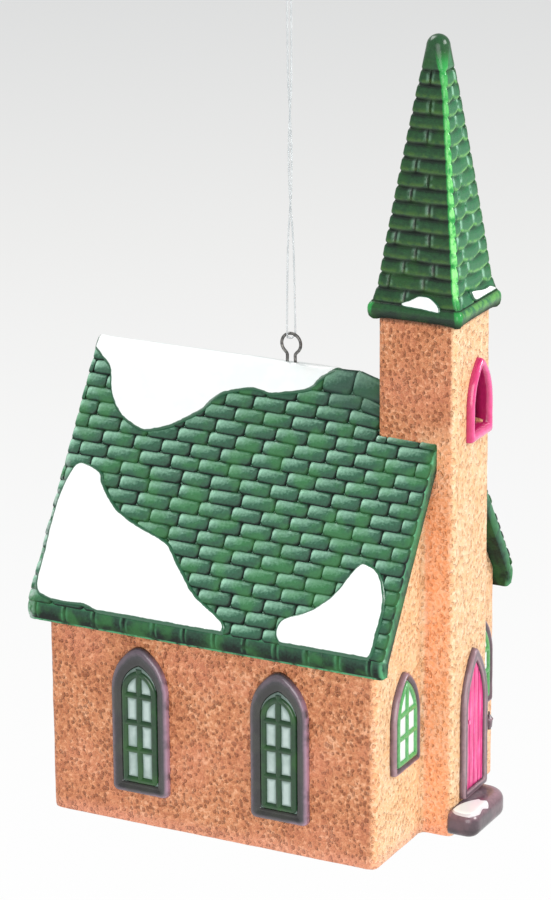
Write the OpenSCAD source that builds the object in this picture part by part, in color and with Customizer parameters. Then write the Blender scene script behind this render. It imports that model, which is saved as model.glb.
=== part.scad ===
// Hollow ceramic church ornament that hangs by a thread through a wire eye in its ridge.
// The church is drawn with its base at z = 0, its front wall at y = 0 and its ridge over x = 0.
// The whole is then moved so that the origin is where the hanging loop rests on its hook.

/* [Nave] */
// Width of the nave across its side walls
nave_width = 44.6; // [36:0.2:56]
// Length of the nave from front wall to rear wall
nave_length = 57.4; // [50:0.2:76]
// Height between the tops of the side windows and the underside of the eaves
eave_gap = 1.7; // [0.4:0.1:6]
// Rise of the sharp ridge line above the upright face of the eaves
roof_rise = 37.7; // [31:0.1:44]
// Thickness of the cast walls
wall = 2.4; // [1.8:0.1:3.4]
// Thickness of the floor
floor_thickness = 2.4; // [1.6:0.1:4]
// Diameter of the light hole in the floor
light_hole_diameter = 12; // [8:0.5:16]
// Radius of the nave's upright corners
corner_radius = 1.2; // [0.4:0.1:2]

/* [Roof] */
// How far the roof stands out past the side walls
side_overhang = 2.4; // [1.2:0.1:4]
// How far the roof stands out past the front wall
front_overhang = 2.2; // [1:0.1:3]
// How far the roof stands out past the rear wall
rear_overhang = 2.4; // [1:0.1:4]
// Height of the upright face along the eaves
fascia_height = 3; // [2:0.1:4]
// Thickness of the roof, square to its slope
roof_thickness = 2.4; // [1.6:0.1:3.4]
// Radius that rounds the ridge
ridge_radius = 1; // [0.4:0.1:2]
// Thickness of the snow on the roof
snow_thickness = 0.6; // [0.3:0.05:1]
// Courses of tiles on each slope
roof_courses = 20; // [14:1:24]
// Depth of the grooves between the courses
course_groove_depth = 0.4; // [0.2:0.05:0.6]
// Width of the grooves between the courses
course_groove_width = 0.7; // [0.4:0.05:0.9]

/* [Tower] */
// Width of the tower across the front
tower_width = 13.4; // [11.6:0.1:16]
// Depth of the tower from front to rear
tower_depth = 13; // [11:0.1:16]
// How far the tower stands out from the front wall
tower_projection = 5.1; // [3:0.1:6]
// How far the tower stands to the right of the ridge line
tower_offset = 1.3; // [-1.5:0.1:1.5]
// Rise of the tower walls above the sharp ridge line
tower_rise = 10.6; // [7:0.2:18]
// Radius of the tower's upright corners
tower_corner_radius = 0.9; // [0.4:0.1:1.4]

/* [Spire] */
// How far the cornice stands out past the tower walls
cornice_overhang = 1; // [0.6:0.1:2]
// Height of the cornice
cornice_height = 2.4; // [1.6:0.1:3.6]
// Height of the spire above the cornice
spire_height = 40.3; // [34:0.1:50]
// Height of the flared foot of the spire
flare_height = 2.6; // [1.5:0.1:4]
// Radius of the rounded tip of the spire
tip_radius = 1.8; // [1.2:0.1:2.4]
// Height of the smooth cap of the spire
cap_height = 5.8; // [4.5:0.1:8]
// Wall of the hollow spire
spire_wall = 1.8; // [1.2:0.1:2.4]

/* [Windows] */
// Width of a side window over its frame
side_window_width = 10; // [8.4:0.1:12]
// Height of a side window over its frame
side_window_height = 25.2; // [20:0.2:26.4]
// Height of the foot of a side window above the base
side_window_foot = 5.6; // [3:0.1:5.8]
// Place of the front side window along the nave
side_window_front_place = 16.25; // [14:0.25:20]
// Place of the rear side window along the nave
side_window_rear_place = 40.75; // [34:0.25:42]
// Width of a front window over its frame
front_window_width = 9; // [8:0.1:10]
// Height of a front window over its frame
front_window_height = 16.1; // [14:0.1:20]
// Height of the foot of a front window above the base
front_window_foot = 13.8; // [8:0.1:15]
// Distance of a front window from the tower's centre line
front_window_place = 13.8; // [12.4:0.1:14.2]
// Relief of a window frame from the wall
frame_relief = 1; // [0.6:0.1:1.4]
// Width of a side window's frame band
side_frame_band = 1.9; // [1.4:0.1:2.2]
// Width of a front window's frame band
front_frame_band = 1.4; // [1:0.1:1.8]
// Width of the lattice border and bars
bar_width = 0.8; // [0.5:0.05:1]

/* [Front] */
// How far the door stands to the right of the tower's centre line
door_offset = 0.75; // [-1:0.05:1]
// Width of the door frame
door_width = 8.6; // [7.4:0.1:9.4]
// Height of the door frame
door_height = 24.4; // [20:0.2:30]
// Width of the door frame's band
door_band = 1.3; // [0.9:0.1:1.6]
// Relief of the door frame from the tower
door_relief = 1; // [0.7:0.1:1.4]
// How far the belfry arch stands to the right of the tower's centre line
belfry_offset = 1.6; // [-1.6:0.1:1.7]
// Width of the belfry arch over its frame
belfry_width = 7.6; // [7:0.1:9]
// Height of the belfry arch over its frame
belfry_height = 13; // [11.5:0.1:15]
// Height between the top of the belfry arch and the cornice
belfry_gap = 7; // [1:0.2:9]
// Width of the belfry frame's band
belfry_band = 1.2; // [0.8:0.1:1.3]
// Relief of the belfry frame from the tower
belfry_relief = 1.2; // [0.6:0.1:1.6]
// Width of the doorstep
step_width = 14; // [12:0.2:16]
// How far the doorstep stands out from the tower
step_depth = 4.7; // [4:0.1:6]
// Height of the top of the doorstep above the base
step_top = 5; // [3.6:0.1:5]
// Thickness of the doorstep
step_thickness = 3.9; // [2.4:0.1:4.2]
// How far the doorstep stands to the left of the tower's centre line
step_offset = 1.2; // [-1:0.1:1.4]
// Diameter of the door knob
knob_diameter = 0.9; // [0.6:0.1:1.4]
// Width of the wall lantern beside the door
lantern_width = 1.4; // [1:0.1:1.8]
// Height of the wall lantern
lantern_height = 3.2; // [2.4:0.1:4]

/* [Hanging] */
// Place of the wire eye along the nave
eye_place = 25.3; // [22:0.1:32]
// Diameter of the wire of the eye
wire_diameter = 0.5; // [0.4:0.05:0.7]
// Width of the eye over its wire
eye_width = 3.8; // [3.4:0.1:5]
// Height of the eye above the sharp ridge line
eye_height = 4.4; // [4:0.1:6]
// Diameter of the hanging thread
thread_diameter = 0.3; // [0.25:0.05:0.4]
// Length of the thread above the wire eye up to its knot
thread_rise = 54; // [53:0.5:70]
// Diameter of the knot
knot_diameter = 1.6; // [1.3:0.1:3]
// Height of the knot
knot_height = 1.6; // [1:0.1:3]
// Width of the hanging loop across its thread
loop_width = 6; // [4:0.2:12]
// Height of the hanging loop above its knot
loop_height = 13; // [9:0.5:20]

/* [Hidden] */

$fn = 48;
// Overrun of every cut past the face that it opens
cut = 1;
// Points on each rounded corner of an outline
corner_steps = 4;
// Points between two places of a snow outline
snow_steps = 4;

// Colours
wall_colour = [0.83, 0.56, 0.38];
roof_colour = [0.16, 0.42, 0.27];
spire_colour = [0.13, 0.40, 0.20];
snow_colour = [0.93, 0.96, 0.95];
frame_colour = [0.36, 0.29, 0.32];
lattice_colour = [0.12, 0.30, 0.15];
pane_colour = [0.83, 0.89, 0.86];
door_colour = [0.93, 0.25, 0.55];
step_colour = [0.45, 0.35, 0.38];
wire_colour = [0.30, 0.30, 0.32];
thread_colour = [0.85, 0.87, 0.88];

// Shares of one size that give another
fascia_radius_share = 0.8;
flare_top_share = 0.15;
flare_foot_share = 0.25;
cap_foot_share = 1.06;
cornice_edge_share = 0.45;
arch_tip_share = 0.75;
leg_depth_share = 0.7;
leaf_relief_share = 0.45;
knot_flat_share = 0.75;
knot_edge_share = 0.4;
glass_rise_share = 0.45;
lantern_edge_share = 0.3;
lantern_eave_share = 0.7;
belfry_sill_share = 1.5;

// Heights that follow from one another
eave_height = side_window_foot + side_window_height + eave_gap;
ridge_height = eave_height + fascia_height + roof_rise;
tower_height = ridge_height + tower_rise;
belfry_foot = tower_height - belfry_gap - belfry_height;

// Roof lines
half_width = nave_width / 2;
eave_out = half_width + side_overhang;
fascia_top = eave_height + fascia_height;
slope = (ridge_height - fascia_top) / eave_out;
slope_angle = atan(slope);
roof_drop = roof_thickness / cos(slope_angle);
snow_rise = snow_thickness / cos(slope_angle);
roof_length = nave_length + front_overhang + rear_overhang;
fascia_radius = ridge_radius * fascia_radius_share;

// Inside of the nave
inner_half_width = half_width - wall;

// Tower lines
tower_left = tower_offset - tower_width / 2;
tower_right = tower_offset + tower_width / 2;
tower_front = -tower_projection;
tower_rear = tower_front + tower_depth;
tower_middle = tower_front + tower_depth / 2;
door_centre = tower_offset + door_offset;
belfry_centre = tower_offset + belfry_offset;

// Spire lines
cornice_top = tower_height + cornice_height;
spire_tip = cornice_top + spire_height;
cornice_half = tower_width / 2 + cornice_overhang;
// Half width of the spire at the top of its flare and at the foot of its cap
flare_half = tower_width / 2 - flare_top_share * cornice_overhang;
cap_half = tip_radius * cap_foot_share;
flare_foot_half = cornice_half - flare_foot_share * cornice_overhang;
// Thickness of the thin plates that a frustum is drawn between
plate = 0.02;

// Relief of the layers of a window, as shares of the frame's relief
pane_share = 0.8;
lattice_share = 0.2;
// Foot of the pointed part of an arch, as a share of its height
side_spring_share = 0.68;
front_spring_share = 0.50;
door_spring_share = 0.58;
belfry_spring_share = 0.42;
// Rows of panes, and the part of a row that shows above the last bar
front_rows = 3;
side_rows = 4;
front_top_row_share = 0.6;
side_top_row_share = 0.92;
// Rounding of the foot corners of the frames
foot_radius = 0.5;

// Doorstep and door details
step_radius = 3.6;
step_heel_radius = 0.8;
step_snow_thickness = 0.4;
door_foot = step_top + step_snow_thickness;
leaf_relief = door_relief * leaf_relief_share;
plank_count = 4;
plank_groove = 0.18;
knob_height = 12.6;
lantern_place = 10.2;
lantern_depth = 1.5;
lantern_gap = 0.1;
lantern_foot = door_foot + lantern_place - lantern_height / 2;

// Hanging parts
wire_top = ridge_height + eye_height - wire_diameter / 2;
ring_radius = (eye_width - wire_diameter) / 2;
ring_height = wire_top - ring_radius;
// Half the opening of the ring at its foot, in degrees, and half the gap between its legs
ring_gap_angle = 40;
leg_gap = 0.7;
ring_steps = 32;
wire_sides = 16;
leg_depth = roof_drop * leg_depth_share;
leg_hole_play = 0.02;
knot_foot = wire_top + thread_rise;
knot_top = knot_foot + knot_height;
loop_radius = (loop_width - thread_diameter) / 2;
loop_middle = knot_top + loop_height - thread_diameter / 2 - loop_radius;
hook_height = loop_middle + loop_radius - thread_diameter / 2;
thread_sides = 8;
// Radius of the thread's turn under the wire, and half the gap of its two strands at the knot
turn_radius = 0.75;
knot_gap = 0.3;
// Direction of the turn, seen from above
turn_angle = -30;
turn_steps = [45, 90, 135];
// Tube rings between two points of the thread's route
thread_steps = 2;

// Route of one strand above the wire's centre. The other strand is its mirror image about the thread's axis.
// The strands twist round each other once between 14 and 40 mm up.
strand_points = [
    [0.65, -0.375, 0], [0.58, -0.37, 5], [0.46, -0.34, 10], [0.33, -0.31, 14], [0.28, -0.16, 17],
    [0.25, 0, 19], [0.19, 0.12, 21], [0.1, 0.2, 23], [-0.02, 0.22, 26], [-0.14, 0.17, 29],
    [-0.21, 0.04, 32], [-0.2, -0.08, 34.5], [-0.14, -0.18, 37], [0, -0.26, 40], [0.12, -0.27, 44],
    [0.15, -0.26, 49], [0.15, -0.26, 52], [0.15, -0.26, thread_rise]
];

// Outlines of the snow, as shares of the roof's length from the front edge and of its half span from the ridge.
// A negative second share lies on the left slope.
ridge_snow_shares = [
    [1.02, 0], [1.02, -0.03], [0.985, -0.07], [0.945, -0.12], [0.92, -0.22], [0.88, -0.28],
    [0.83, -0.315], [0.79, -0.325], [0.73, -0.29], [0.665, -0.225], [0.63, -0.155], [0.575, -0.118],
    [0.5, -0.118], [0.43, -0.118], [0.37, -0.065], [0.325, -0.02], [0.3, 0.01], [0.33, 0.07],
    [0.4, 0.1], [0.47, 0.16], [0.53, 0.27], [0.59, 0.33], [0.67, 0.31], [0.73, 0.22],
    [0.8, 0.17], [0.87, 0.19], [0.93, 0.15], [0.985, 0.08], [1.02, 0.03]
];
rear_left_snow_shares = [
    [0.963, -0.545], [0.94, -0.508], [0.908, -0.5], [0.88, -0.53], [0.855, -0.585], [0.79, -0.648],
    [0.71, -0.685], [0.65, -0.715], [0.6, -0.79], [0.53, -0.885], [0.455, -0.94], [0.445, -0.99],
    [0.48, -1.03], [0.56, -1.03], [0.7, -1.02], [0.8, -0.985], [0.88, -0.975], [0.938, -0.965],
    [0.965, -0.9], [0.975, -0.76], [0.974, -0.63]
];
front_left_snow_shares = [
    [0.122, -0.675], [0.09, -0.675], [0.06, -0.72], [0.04, -0.81], [0.038, -0.93], [0.055, -1.01],
    [0.12, -1.03], [0.2, -1.02], [0.275, -0.995], [0.302, -0.95], [0.28, -0.905], [0.225, -0.87],
    [0.18, -0.815], [0.15, -0.74]
];
rear_right_snow_shares = [
    [0.97, 0.56], [0.9, 0.52], [0.82, 0.57], [0.77, 0.66], [0.7, 0.72], [0.62, 0.8],
    [0.57, 0.9], [0.58, 1.02], [0.68, 1.03], [0.8, 0.98], [0.9, 0.95], [0.965, 0.87], [0.985, 0.7]
];
front_right_snow_shares = [
    [0.3, 0.7], [0.24, 0.67], [0.19, 0.73], [0.15, 0.82], [0.13, 0.92], [0.15, 1.02],
    [0.25, 1.03], [0.35, 1.01], [0.43, 0.97], [0.45, 0.9], [0.4, 0.83], [0.35, 0.78]
];
// Outlines of the snow on the cornice, as shares of the cornice's half width and of the height
// from the foot of the cornice to the top of the flare.
left_cornice_snow_shares = [
    [-0.27, 0.53], [-0.11, 0.64], [0.05, 0.78], [0.15, 0.81], [0.32, 0.79], [0.5, 0.6],
    [0.56, 0.36], [0.37, 0.35], [0.21, 0.38], [-0.2, 0.41]
];
front_cornice_snow_shares = [
    [-0.28, 0.83], [-0.14, 0.83], [0.29, 0.73], [0.57, 0.72], [0.81, 0.51], [0.27, 0.5], [-0.19, 0.52]
];
// Outline of the snow on the doorstep, as shares of the step's width and depth
step_snow_shares = [
    [-0.44, 0.06], [-0.46, 0.5], [-0.38, 0.86], [-0.16, 0.92],
    [0.02, 0.86], [0.1, 0.6], [0.2, 0.3], [0.12, 0.06]
];

// Length, dot product and unit vector
function unit(v) = v / norm(v);

// The arc that rounds corner b between a and c, from side to side
function corner_arc(a, b, c, r) =
    let (
        u = unit(a - b), v = unit(c - b),
        half = acos(max(-1, min(1, u * v))) / 2,
        m = b + unit(u + v) * r / sin(half),
        from = b + u * r / tan(half) - m,
        to = b + v * r / tan(half) - m,
        start = atan2(from[1], from[0]),
        raw = atan2(to[1], to[0]) - start,
        sweep = raw > 180 ? raw - 360 : raw < -180 ? raw + 360 : raw
    )
    [for (i = [0:corner_steps])
        let (a = start + sweep * i / corner_steps)
        m + r * [cos(a), sin(a)]];

// An outline with each corner rounded by its own radius, and a sharp corner where that is zero
function rounded(points, radii) =
    let (n = len(points))
    [for (i = [0:n - 1])
        each radii[i] > 0
            ? corner_arc(points[(i + n - 1) % n], points[i], points[(i + 1) % n], radii[i])
            : [points[i]]];

// A point on the smooth closed curve through four neighbouring points
function curve_point(a, b, c, d, t) =
    0.5 * (2 * b + (c - a) * t + (2 * a - 5 * b + 4 * c - d) * t * t + (3 * b - a - 3 * c + d) * t * t * t);

// The smooth closed curve through all points
function smooth_loop(points) =
    let (n = len(points))
    [for (i = [0:n - 1]) for (s = [0:snow_steps - 1])
        curve_point(
            points[(i + n - 1) % n], points[i], points[(i + 1) % n], points[(i + 2) % n], s / snow_steps)];

// The smooth open curve through all points, with its end points kept
function smooth_line(points, steps) =
    let (n = len(points))
    concat(
        [for (i = [0:n - 2]) for (s = [0:steps - 1])
            curve_point(points[max(i - 1, 0)], points[i], points[i + 1], points[min(i + 2, n - 1)], s / steps)],
        [points[n - 1]]);

// A tube swept along a line, whose rings keep one chosen side
module tube(line, diameter, side, k) {
    n = len(line);
    rings = [for (i = [0:n - 1])
        let (
            along = unit(line[min(i + 1, n - 1)] - line[max(i - 1, 0)]),
            b = unit(side - (side * along) * along),
            a = cross(b, along)
        )
        for (j = [0:k - 1]) line[i] + diameter / 2 * (cos(360 * j / k) * a + sin(360 * j / k) * b)];
    faces = concat(
        [[for (j = [0:k - 1]) j]],
        [for (i = [0:n - 2]) for (j = [0:k - 1])
            [i * k + j, (i + 1) * k + j, (i + 1) * k + (j + 1) % k]],
        [for (i = [0:n - 2]) for (j = [0:k - 1])
            [i * k + j, (i + 1) * k + (j + 1) % k, i * k + (j + 1) % k]],
        [[for (j = [k - 1:-1:0]) (n - 1) * k + j]]);
    polyhedron(rings, faces);
}

// Moves the church from its drawn place to the origin at the hook
module placed() {
    translate([0, -eye_place, -hook_height]) children();
}

// An outline across the nave, drawn in x and z, made solid from y = start over a length
module across(start, length) {
    translate([0, start + length, 0]) rotate([90, 0, 0]) linear_extrude(length) children();
}

// An outline on the front, drawn in x and z, made solid forward from the plane y = face
module on_front(face, depth) {
    translate([0, face, 0]) rotate([90, 0, 0]) linear_extrude(depth) children();
}

// A window or other outline on a wall of the nave: wall_side is -1 for left and 1 for right
module on_side(wall_side, place, lift, depth) {
    translate([wall_side * (half_width + lift), place, 0])
        rotate([90, 0, wall_side * 90]) linear_extrude(depth) children();
}

// A pointed arch from its foot up, drawn about x = 0, with a share of its height upright
module arch(width, height, spring_share, foot = 0) {
    half = width / 2;
    spring = height * spring_share;
    rise = height - spring;
    shift = (rise * rise - half * half) / width;
    radius = half + shift;
    union() {
        translate([-half + foot, 0]) square([width - 2 * foot, spring]);
        if (foot > 0) {
            translate([-half, foot]) square([width, spring - foot]);
            for (s = [-1, 1]) translate([s * (half - foot), foot]) circle(foot);
        }
        intersection() {
            translate([-half, spring]) square([width, rise]);
            translate([-shift, spring]) circle(radius);
            translate([shift, spring]) circle(radius);
        }
    }
}

// The same arch drawn in by a band all round
module inner_arch(width, height, spring_share, band, foot_band) {
    spring = height * spring_share;
    tip = band * height / width * arch_tip_share;
    inner_height = height - foot_band - tip;
    translate([0, foot_band]) arch(width - 2 * band, inner_height, (spring - foot_band) / inner_height);
}

// Outlines of the nave
module wall_outline(half, drop) {
    top = ridge_height - drop;
    polygon([[-half, 0], [-half, top - slope * half], [0, top], [half, top - slope * half], [half, 0]]);
}

module roof_band(inner_drop, outer_drop, inner_round, outer_round) {
    outer_foot = fascia_top - outer_drop;
    inner_foot = fascia_top - inner_drop;
    polygon(concat(
        rounded(
            [[-eave_out, outer_foot], [0, ridge_height - outer_drop], [eave_out, outer_foot]],
            [0, outer_round, 0]),
        rounded(
            [[eave_out, inner_foot], [0, ridge_height - inner_drop], [-eave_out, inner_foot]],
            [0, inner_round, 0])));
}

// The grooves between the courses of tiles on one slope, from the eaves up.
// The side is -1 for the left slope and 1 for the right.
function course_grooves(side) =
    let (
        foot = [side * eave_out, fascia_top],
        up = unit([-side * eave_out, roof_rise]),
        out = unit([side * roof_rise, eave_out]),
        pitch = norm([eave_out, roof_rise]) / roof_courses
    )
    [for (i = [1:roof_courses - 1]) for (s = [-1, 0, 1])
        foot + (i * pitch + s * course_groove_width / 2) * up - (1 - abs(s)) * course_groove_depth * out];

module roof_outline() {
    under = ridge_height - roof_drop;
    foot = under - slope * half_width;
    left = course_grooves(-1);
    right = course_grooves(1);
    n = len(right);
    level = [for (i = [1:n]) 0];
    polygon(rounded(
        concat(
            [[-eave_out, eave_height], [-eave_out, fascia_top]],
            left,
            [[0, ridge_height]],
            [for (i = [n - 1:-1:0]) right[i]],
            [
                [eave_out, fascia_top], [eave_out, eave_height], [half_width, eave_height], [half_width, foot],
                [0, under], [-half_width, foot], [-half_width, eave_height]
            ]),
        concat(
            [fascia_radius, fascia_radius], level, [ridge_radius], level,
            [fascia_radius, fascia_radius, 0, 0, 0, 0, 0])));
}

module tower_plan() {
    polygon(rounded(
        [
            [tower_left, tower_front], [tower_right, tower_front],
            [tower_right, tower_rear], [tower_left, tower_rear]
        ],
        [for (i = [0:3]) tower_corner_radius]));
}

module tower_block(height, start = 0) {
    translate([0, 0, start]) linear_extrude(height) tower_plan();
}

module nave_plan(inset, radius) {
    polygon(rounded(
        [
            [-half_width + inset, inset], [half_width - inset, inset],
            [half_width - inset, nave_length - inset], [-half_width + inset, nave_length - inset]
        ],
        [for (i = [0:3]) radius]));
}

module nave_inside() {
    intersection() {
        across(wall, nave_length - 2 * wall) wall_outline(inner_half_width, roof_drop);
        translate([0, 0, -cut]) linear_extrude(ridge_height + cut) nave_plan(wall, 0);
    }
}

// Hanging parts
module loop_line() {
    // One leg of the loop touches the ring on a tangent from the knot
    reach = loop_middle - knot_top;
    lean = acos(loop_radius / norm([reach, knot_gap])) + atan(knot_gap / reach);
    sag_angle = lean - 90;
    rotate([90, 0, 90]) {
        translate([0, loop_middle]) rotate([0, 0, sag_angle])
            rotate_extrude(angle = 180 - 2 * sag_angle)
                translate([loop_radius, 0]) circle(d = thread_diameter);
        for (s = [-1, 1]) {
            foot = [s * knot_gap, knot_top - cut];
            head = [s * loop_radius * cos(sag_angle), loop_middle + loop_radius * sin(sag_angle)];
            way = head - foot;
            translate(foot) rotate([0, 0, -atan2(way[0], way[1])]) rotate([-90, 0, 0])
                cylinder(d = thread_diameter, h = norm(way));
        }
    }
}

module hanging_loop() {
    color(thread_colour) placed() translate([0, eye_place, 0]) intersection() {
        loop_line();
        translate([-loop_width, -loop_width, knot_top])
            cube([2 * loop_width, 2 * loop_width, loop_height + cut]);
    }
}

module thread_knot() {
    r = knot_diameter / 2;
    flat = r * knot_flat_share;
    color(thread_colour) placed() translate([0, eye_place, knot_foot]) rotate_extrude()
        polygon(concat([[0, 0]],
            rounded([[flat, 0], [r, knot_height / 2], [flat, knot_height]], [0, r * knot_edge_share, 0]),
            [[0, knot_height]]));
}

module hanging_thread() {
    n = len(strand_points);
    turn = [for (a = turn_steps)
        turn_radius * [cos(a) * cos(turn_angle), cos(a) * sin(turn_angle), -sin(a)]];
    route = concat(
        [for (i = [n - 1:-1:0]) strand_points[i]], turn, [for (p = strand_points) [-p[0], -p[1], p[2]]]);
    color(thread_colour) placed() translate([0, eye_place, wire_top])
        tube(
            smooth_line(route, thread_steps), thread_diameter,
            [-sin(turn_angle), cos(turn_angle), 0], thread_sides);
}

module wire_eye() {
    foot = ridge_height - leg_depth;
    // The ring ends beside its foot, and each end runs in to a leg at 45 degrees
    side = ring_radius * sin(ring_gap_angle);
    bend = ring_height - ring_radius * cos(ring_gap_angle) - (side - leg_gap);
    ring = [for (i = [0:ring_steps])
        let (a = ring_gap_angle - 90 + (360 - 2 * ring_gap_angle) * i / ring_steps)
        [0, ring_radius * cos(a), ring_height + ring_radius * sin(a)]];
    route = concat([[0, leg_gap, foot], [0, leg_gap, bend]], ring, [[0, -leg_gap, bend], [0, -leg_gap, foot]]);
    color(wire_colour) placed() translate([0, eye_place, 0]) tube(route, wire_diameter, [1, 0, 0], wire_sides);
}

// Holes that the legs of the wire eye stand in
module leg_holes() {
    for (s = [-1, 1])
        translate([0, eye_place + s * leg_gap, ridge_height - leg_depth])
            cylinder(d = wire_diameter + 2 * leg_hole_play, h = leg_depth + cut + snow_rise);
}

// Nave
module nave_walls() {
    color(wall_colour) placed() difference() {
        intersection() {
            across(0, nave_length) wall_outline(half_width, roof_drop);
            linear_extrude(ridge_height) nave_plan(0, corner_radius);
        }
        nave_inside();
        tower_block(tower_height, -cut);
    }
}

module floor_plate() {
    color(wall_colour) placed() difference() {
        union() {
            linear_extrude(floor_thickness) nave_plan(wall, 0);
            translate([tower_left + wall, tower_front + wall, 0])
                cube([tower_width - 2 * wall, tower_projection, floor_thickness]);
        }
        translate([0, nave_length / 2, -cut]) cylinder(d = light_hole_diameter, h = floor_thickness + 2 * cut);
    }
}

module nave_roof() {
    color(roof_colour) placed() difference() {
        across(-front_overhang, roof_length) roof_outline();
        tower_block(tower_height, -cut);
        leg_holes();
    }
}

// A snow patch on the roof, cut from an even layer over both slopes
module roof_snow(shares) {
    outline = [for (p = smooth_loop(shares)) [p[1] * eave_out, p[0] * roof_length - front_overhang]];
    color(snow_colour) placed() difference() {
        intersection() {
            across(-front_overhang, roof_length)
                roof_band(0, -snow_rise, ridge_radius, ridge_radius + snow_thickness);
            translate([0, 0, eave_height]) linear_extrude(ridge_height) polygon(outline);
        }
        leg_holes();
    }
}

module snow_ridge() roof_snow(ridge_snow_shares);
module snow_rear_left() roof_snow(rear_left_snow_shares);
module snow_front_left() roof_snow(front_left_snow_shares);
module snow_rear_right() roof_snow(rear_right_snow_shares);
module snow_front_right() roof_snow(front_right_snow_shares);

// Tower
module belfry_arch() {
    translate([belfry_centre, belfry_foot])
        inner_arch(
            belfry_width, belfry_height, belfry_spring_share, belfry_band, belfry_band * belfry_sill_share);
}

module tower_walls() {
    color(wall_colour) placed() difference() {
        tower_block(tower_height);
        translate([tower_left + wall, tower_front + wall, -cut])
            cube([tower_width - 2 * wall, tower_depth - 2 * wall, tower_height + 2 * cut]);
        nave_inside();
        on_front(tower_front + wall + cut, wall + 2 * cut) belfry_arch();
    }
}

module belfry_frame() {
    color(door_colour) placed() on_front(tower_front, belfry_relief) difference() {
        translate([belfry_centre, belfry_foot])
            arch(belfry_width, belfry_height, belfry_spring_share, foot_radius);
        belfry_arch();
    }
}

// The cornice seen from one side, about the tower's axis and from the cornice's foot
module cornice_side() {
    r = cornice_height * cornice_edge_share;
    polygon(rounded(
        [
            [-cornice_half, 0], [cornice_half, 0],
            [cornice_half, cornice_height], [-cornice_half, cornice_height]
        ],
        [r, r, r, r]));
}

module spire_cornice() {
    inner = tower_width / 2 - spire_wall;
    color(spire_colour) placed() translate([tower_offset, tower_middle, tower_height]) difference() {
        intersection_for (turn = [0, 90])
            rotate([90, 0, turn]) translate([0, 0, -cornice_half])
                linear_extrude(2 * cornice_half) cornice_side();
        translate([-inner, -inner, -cut]) cube([2 * inner, 2 * inner, cornice_height + 2 * cut]);
    }
}

// A four-sided frustum about the spire's axis, between two heights above the cornice
module frustum(low, low_half, high, high_half) {
    hull() {
        translate([-low_half, -low_half, low]) cube([2 * low_half, 2 * low_half, plate]);
        translate([-high_half, -high_half, high - plate]) cube([2 * high_half, 2 * high_half, plate]);
    }
}

module spire() {
    cap_foot = spire_height - cap_height;
    inner_foot = tower_width / 2 - spire_wall;
    color(spire_colour) placed() translate([tower_offset, tower_middle, cornice_top]) difference() {
        union() {
            frustum(0, flare_foot_half, flare_height, flare_half);
            frustum(flare_height - plate, flare_half, cap_foot, cap_half);
            hull() {
                translate([-cap_half, -cap_half, cap_foot - plate])
                    cube([2 * cap_half, 2 * cap_half, plate]);
                translate([0, 0, spire_height - tip_radius]) sphere(tip_radius, $fn = 32);
            }
        }
        frustum(-cut, inner_foot, cap_foot - cap_height, plate);
    }
}

// Half width of the spire at a height above the cornice's foot
function spire_half(z) =
    let (rise = z - cornice_height - flare_height)
    flare_half - (flare_half - cap_half) * rise / (spire_height - cap_height - flare_height);

// Snow on the cornice, laid on the flare and over the edge of the cornice, and turned about the spire
module cornice_snow(shares, turn) {
    play = 2 * plate;
    flare_top = cornice_height + flare_height;
    reach = 2 * flare_top;
    face = cornice_half + snow_thickness / 2;
    outline = [for (p = smooth_loop(shares)) [p[0] * cornice_half, p[1] * flare_top]];
    color(snow_colour) placed() translate([tower_offset, tower_middle, tower_height]) rotate([0, 0, turn])
        intersection() {
            rotate([90, 0, 0]) linear_extrude(2 * cornice_half) polygon(outline);
            translate([-cornice_half, 0, 0]) rotate([90, 0, 90])
                linear_extrude(2 * cornice_half) difference() {
                polygon(rounded(
                    [
                        [0, 0], [-face, 0], [-face, cornice_height + snow_thickness / 2],
                        [-flare_half - snow_thickness, flare_top + snow_thickness],
                        [-spire_half(reach) - snow_thickness, reach], [0, reach]
                    ],
                    [0, 0, snow_thickness, snow_thickness, 0, 0]));
                cornice_side();
                polygon([
                    [cut, 0], [-cornice_half / 2, 0], [-flare_foot_half - play, cornice_height],
                    [-flare_half - play, flare_top], [-spire_half(reach + cut) - play, reach + cut],
                    [cut, reach + cut]
                ]);
            }
        }
}

module cornice_snow_left() cornice_snow(left_cornice_snow_shares, -90);
module cornice_snow_front() cornice_snow(front_cornice_snow_shares, 0);

// Front door
module door_outline() {
    translate([door_centre, door_foot]) arch(door_width, door_height, door_spring_share, foot_radius);
}

module door_opening() {
    translate([door_centre, door_foot])
        inner_arch(door_width, door_height, door_spring_share, door_band, door_band);
}

module door_frame() {
    color(frame_colour) placed() on_front(tower_front, door_relief) difference() {
        door_outline();
        door_opening();
    }
}

module door_leaf() {
    leaf_width = door_width - 2 * door_band;
    color(door_colour) placed() difference() {
        on_front(tower_front, leaf_relief) door_opening();
        for (i = [1:plank_count - 1])
            translate([
                door_centre - leaf_width / 2 + leaf_width * i / plank_count - plank_groove / 2,
                tower_front - leaf_relief - cut, door_foot
            ])
                cube([plank_groove, cut + plank_groove, door_height]);
    }
}

module door_knob() {
    leaf_left = door_centre - door_width / 2 + door_band;
    plank = (door_width - 2 * door_band) / plank_count;
    color(door_colour) placed()
        translate([leaf_left + plank / 2, tower_front - leaf_relief, door_foot + knob_height])
        rotate([90, 0, 0]) intersection() {
            sphere(d = knob_diameter);
            cylinder(d = 2 * knob_diameter, h = knob_diameter);
        }
}

module wall_lantern() {
    left = door_centre + door_width / 2 + lantern_gap;
    r = lantern_width * lantern_edge_share;
    color(frame_colour) placed() on_front(tower_front, lantern_depth)
        polygon(rounded(
            [
                [left, lantern_foot], [left + lantern_width, lantern_foot],
                [left + lantern_width, lantern_foot + lantern_height * lantern_eave_share],
                [left + lantern_width / 2, lantern_foot + lantern_height],
                [left, lantern_foot + lantern_height * lantern_eave_share]
            ],
            [r, r, r, r, r]));
}

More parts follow.
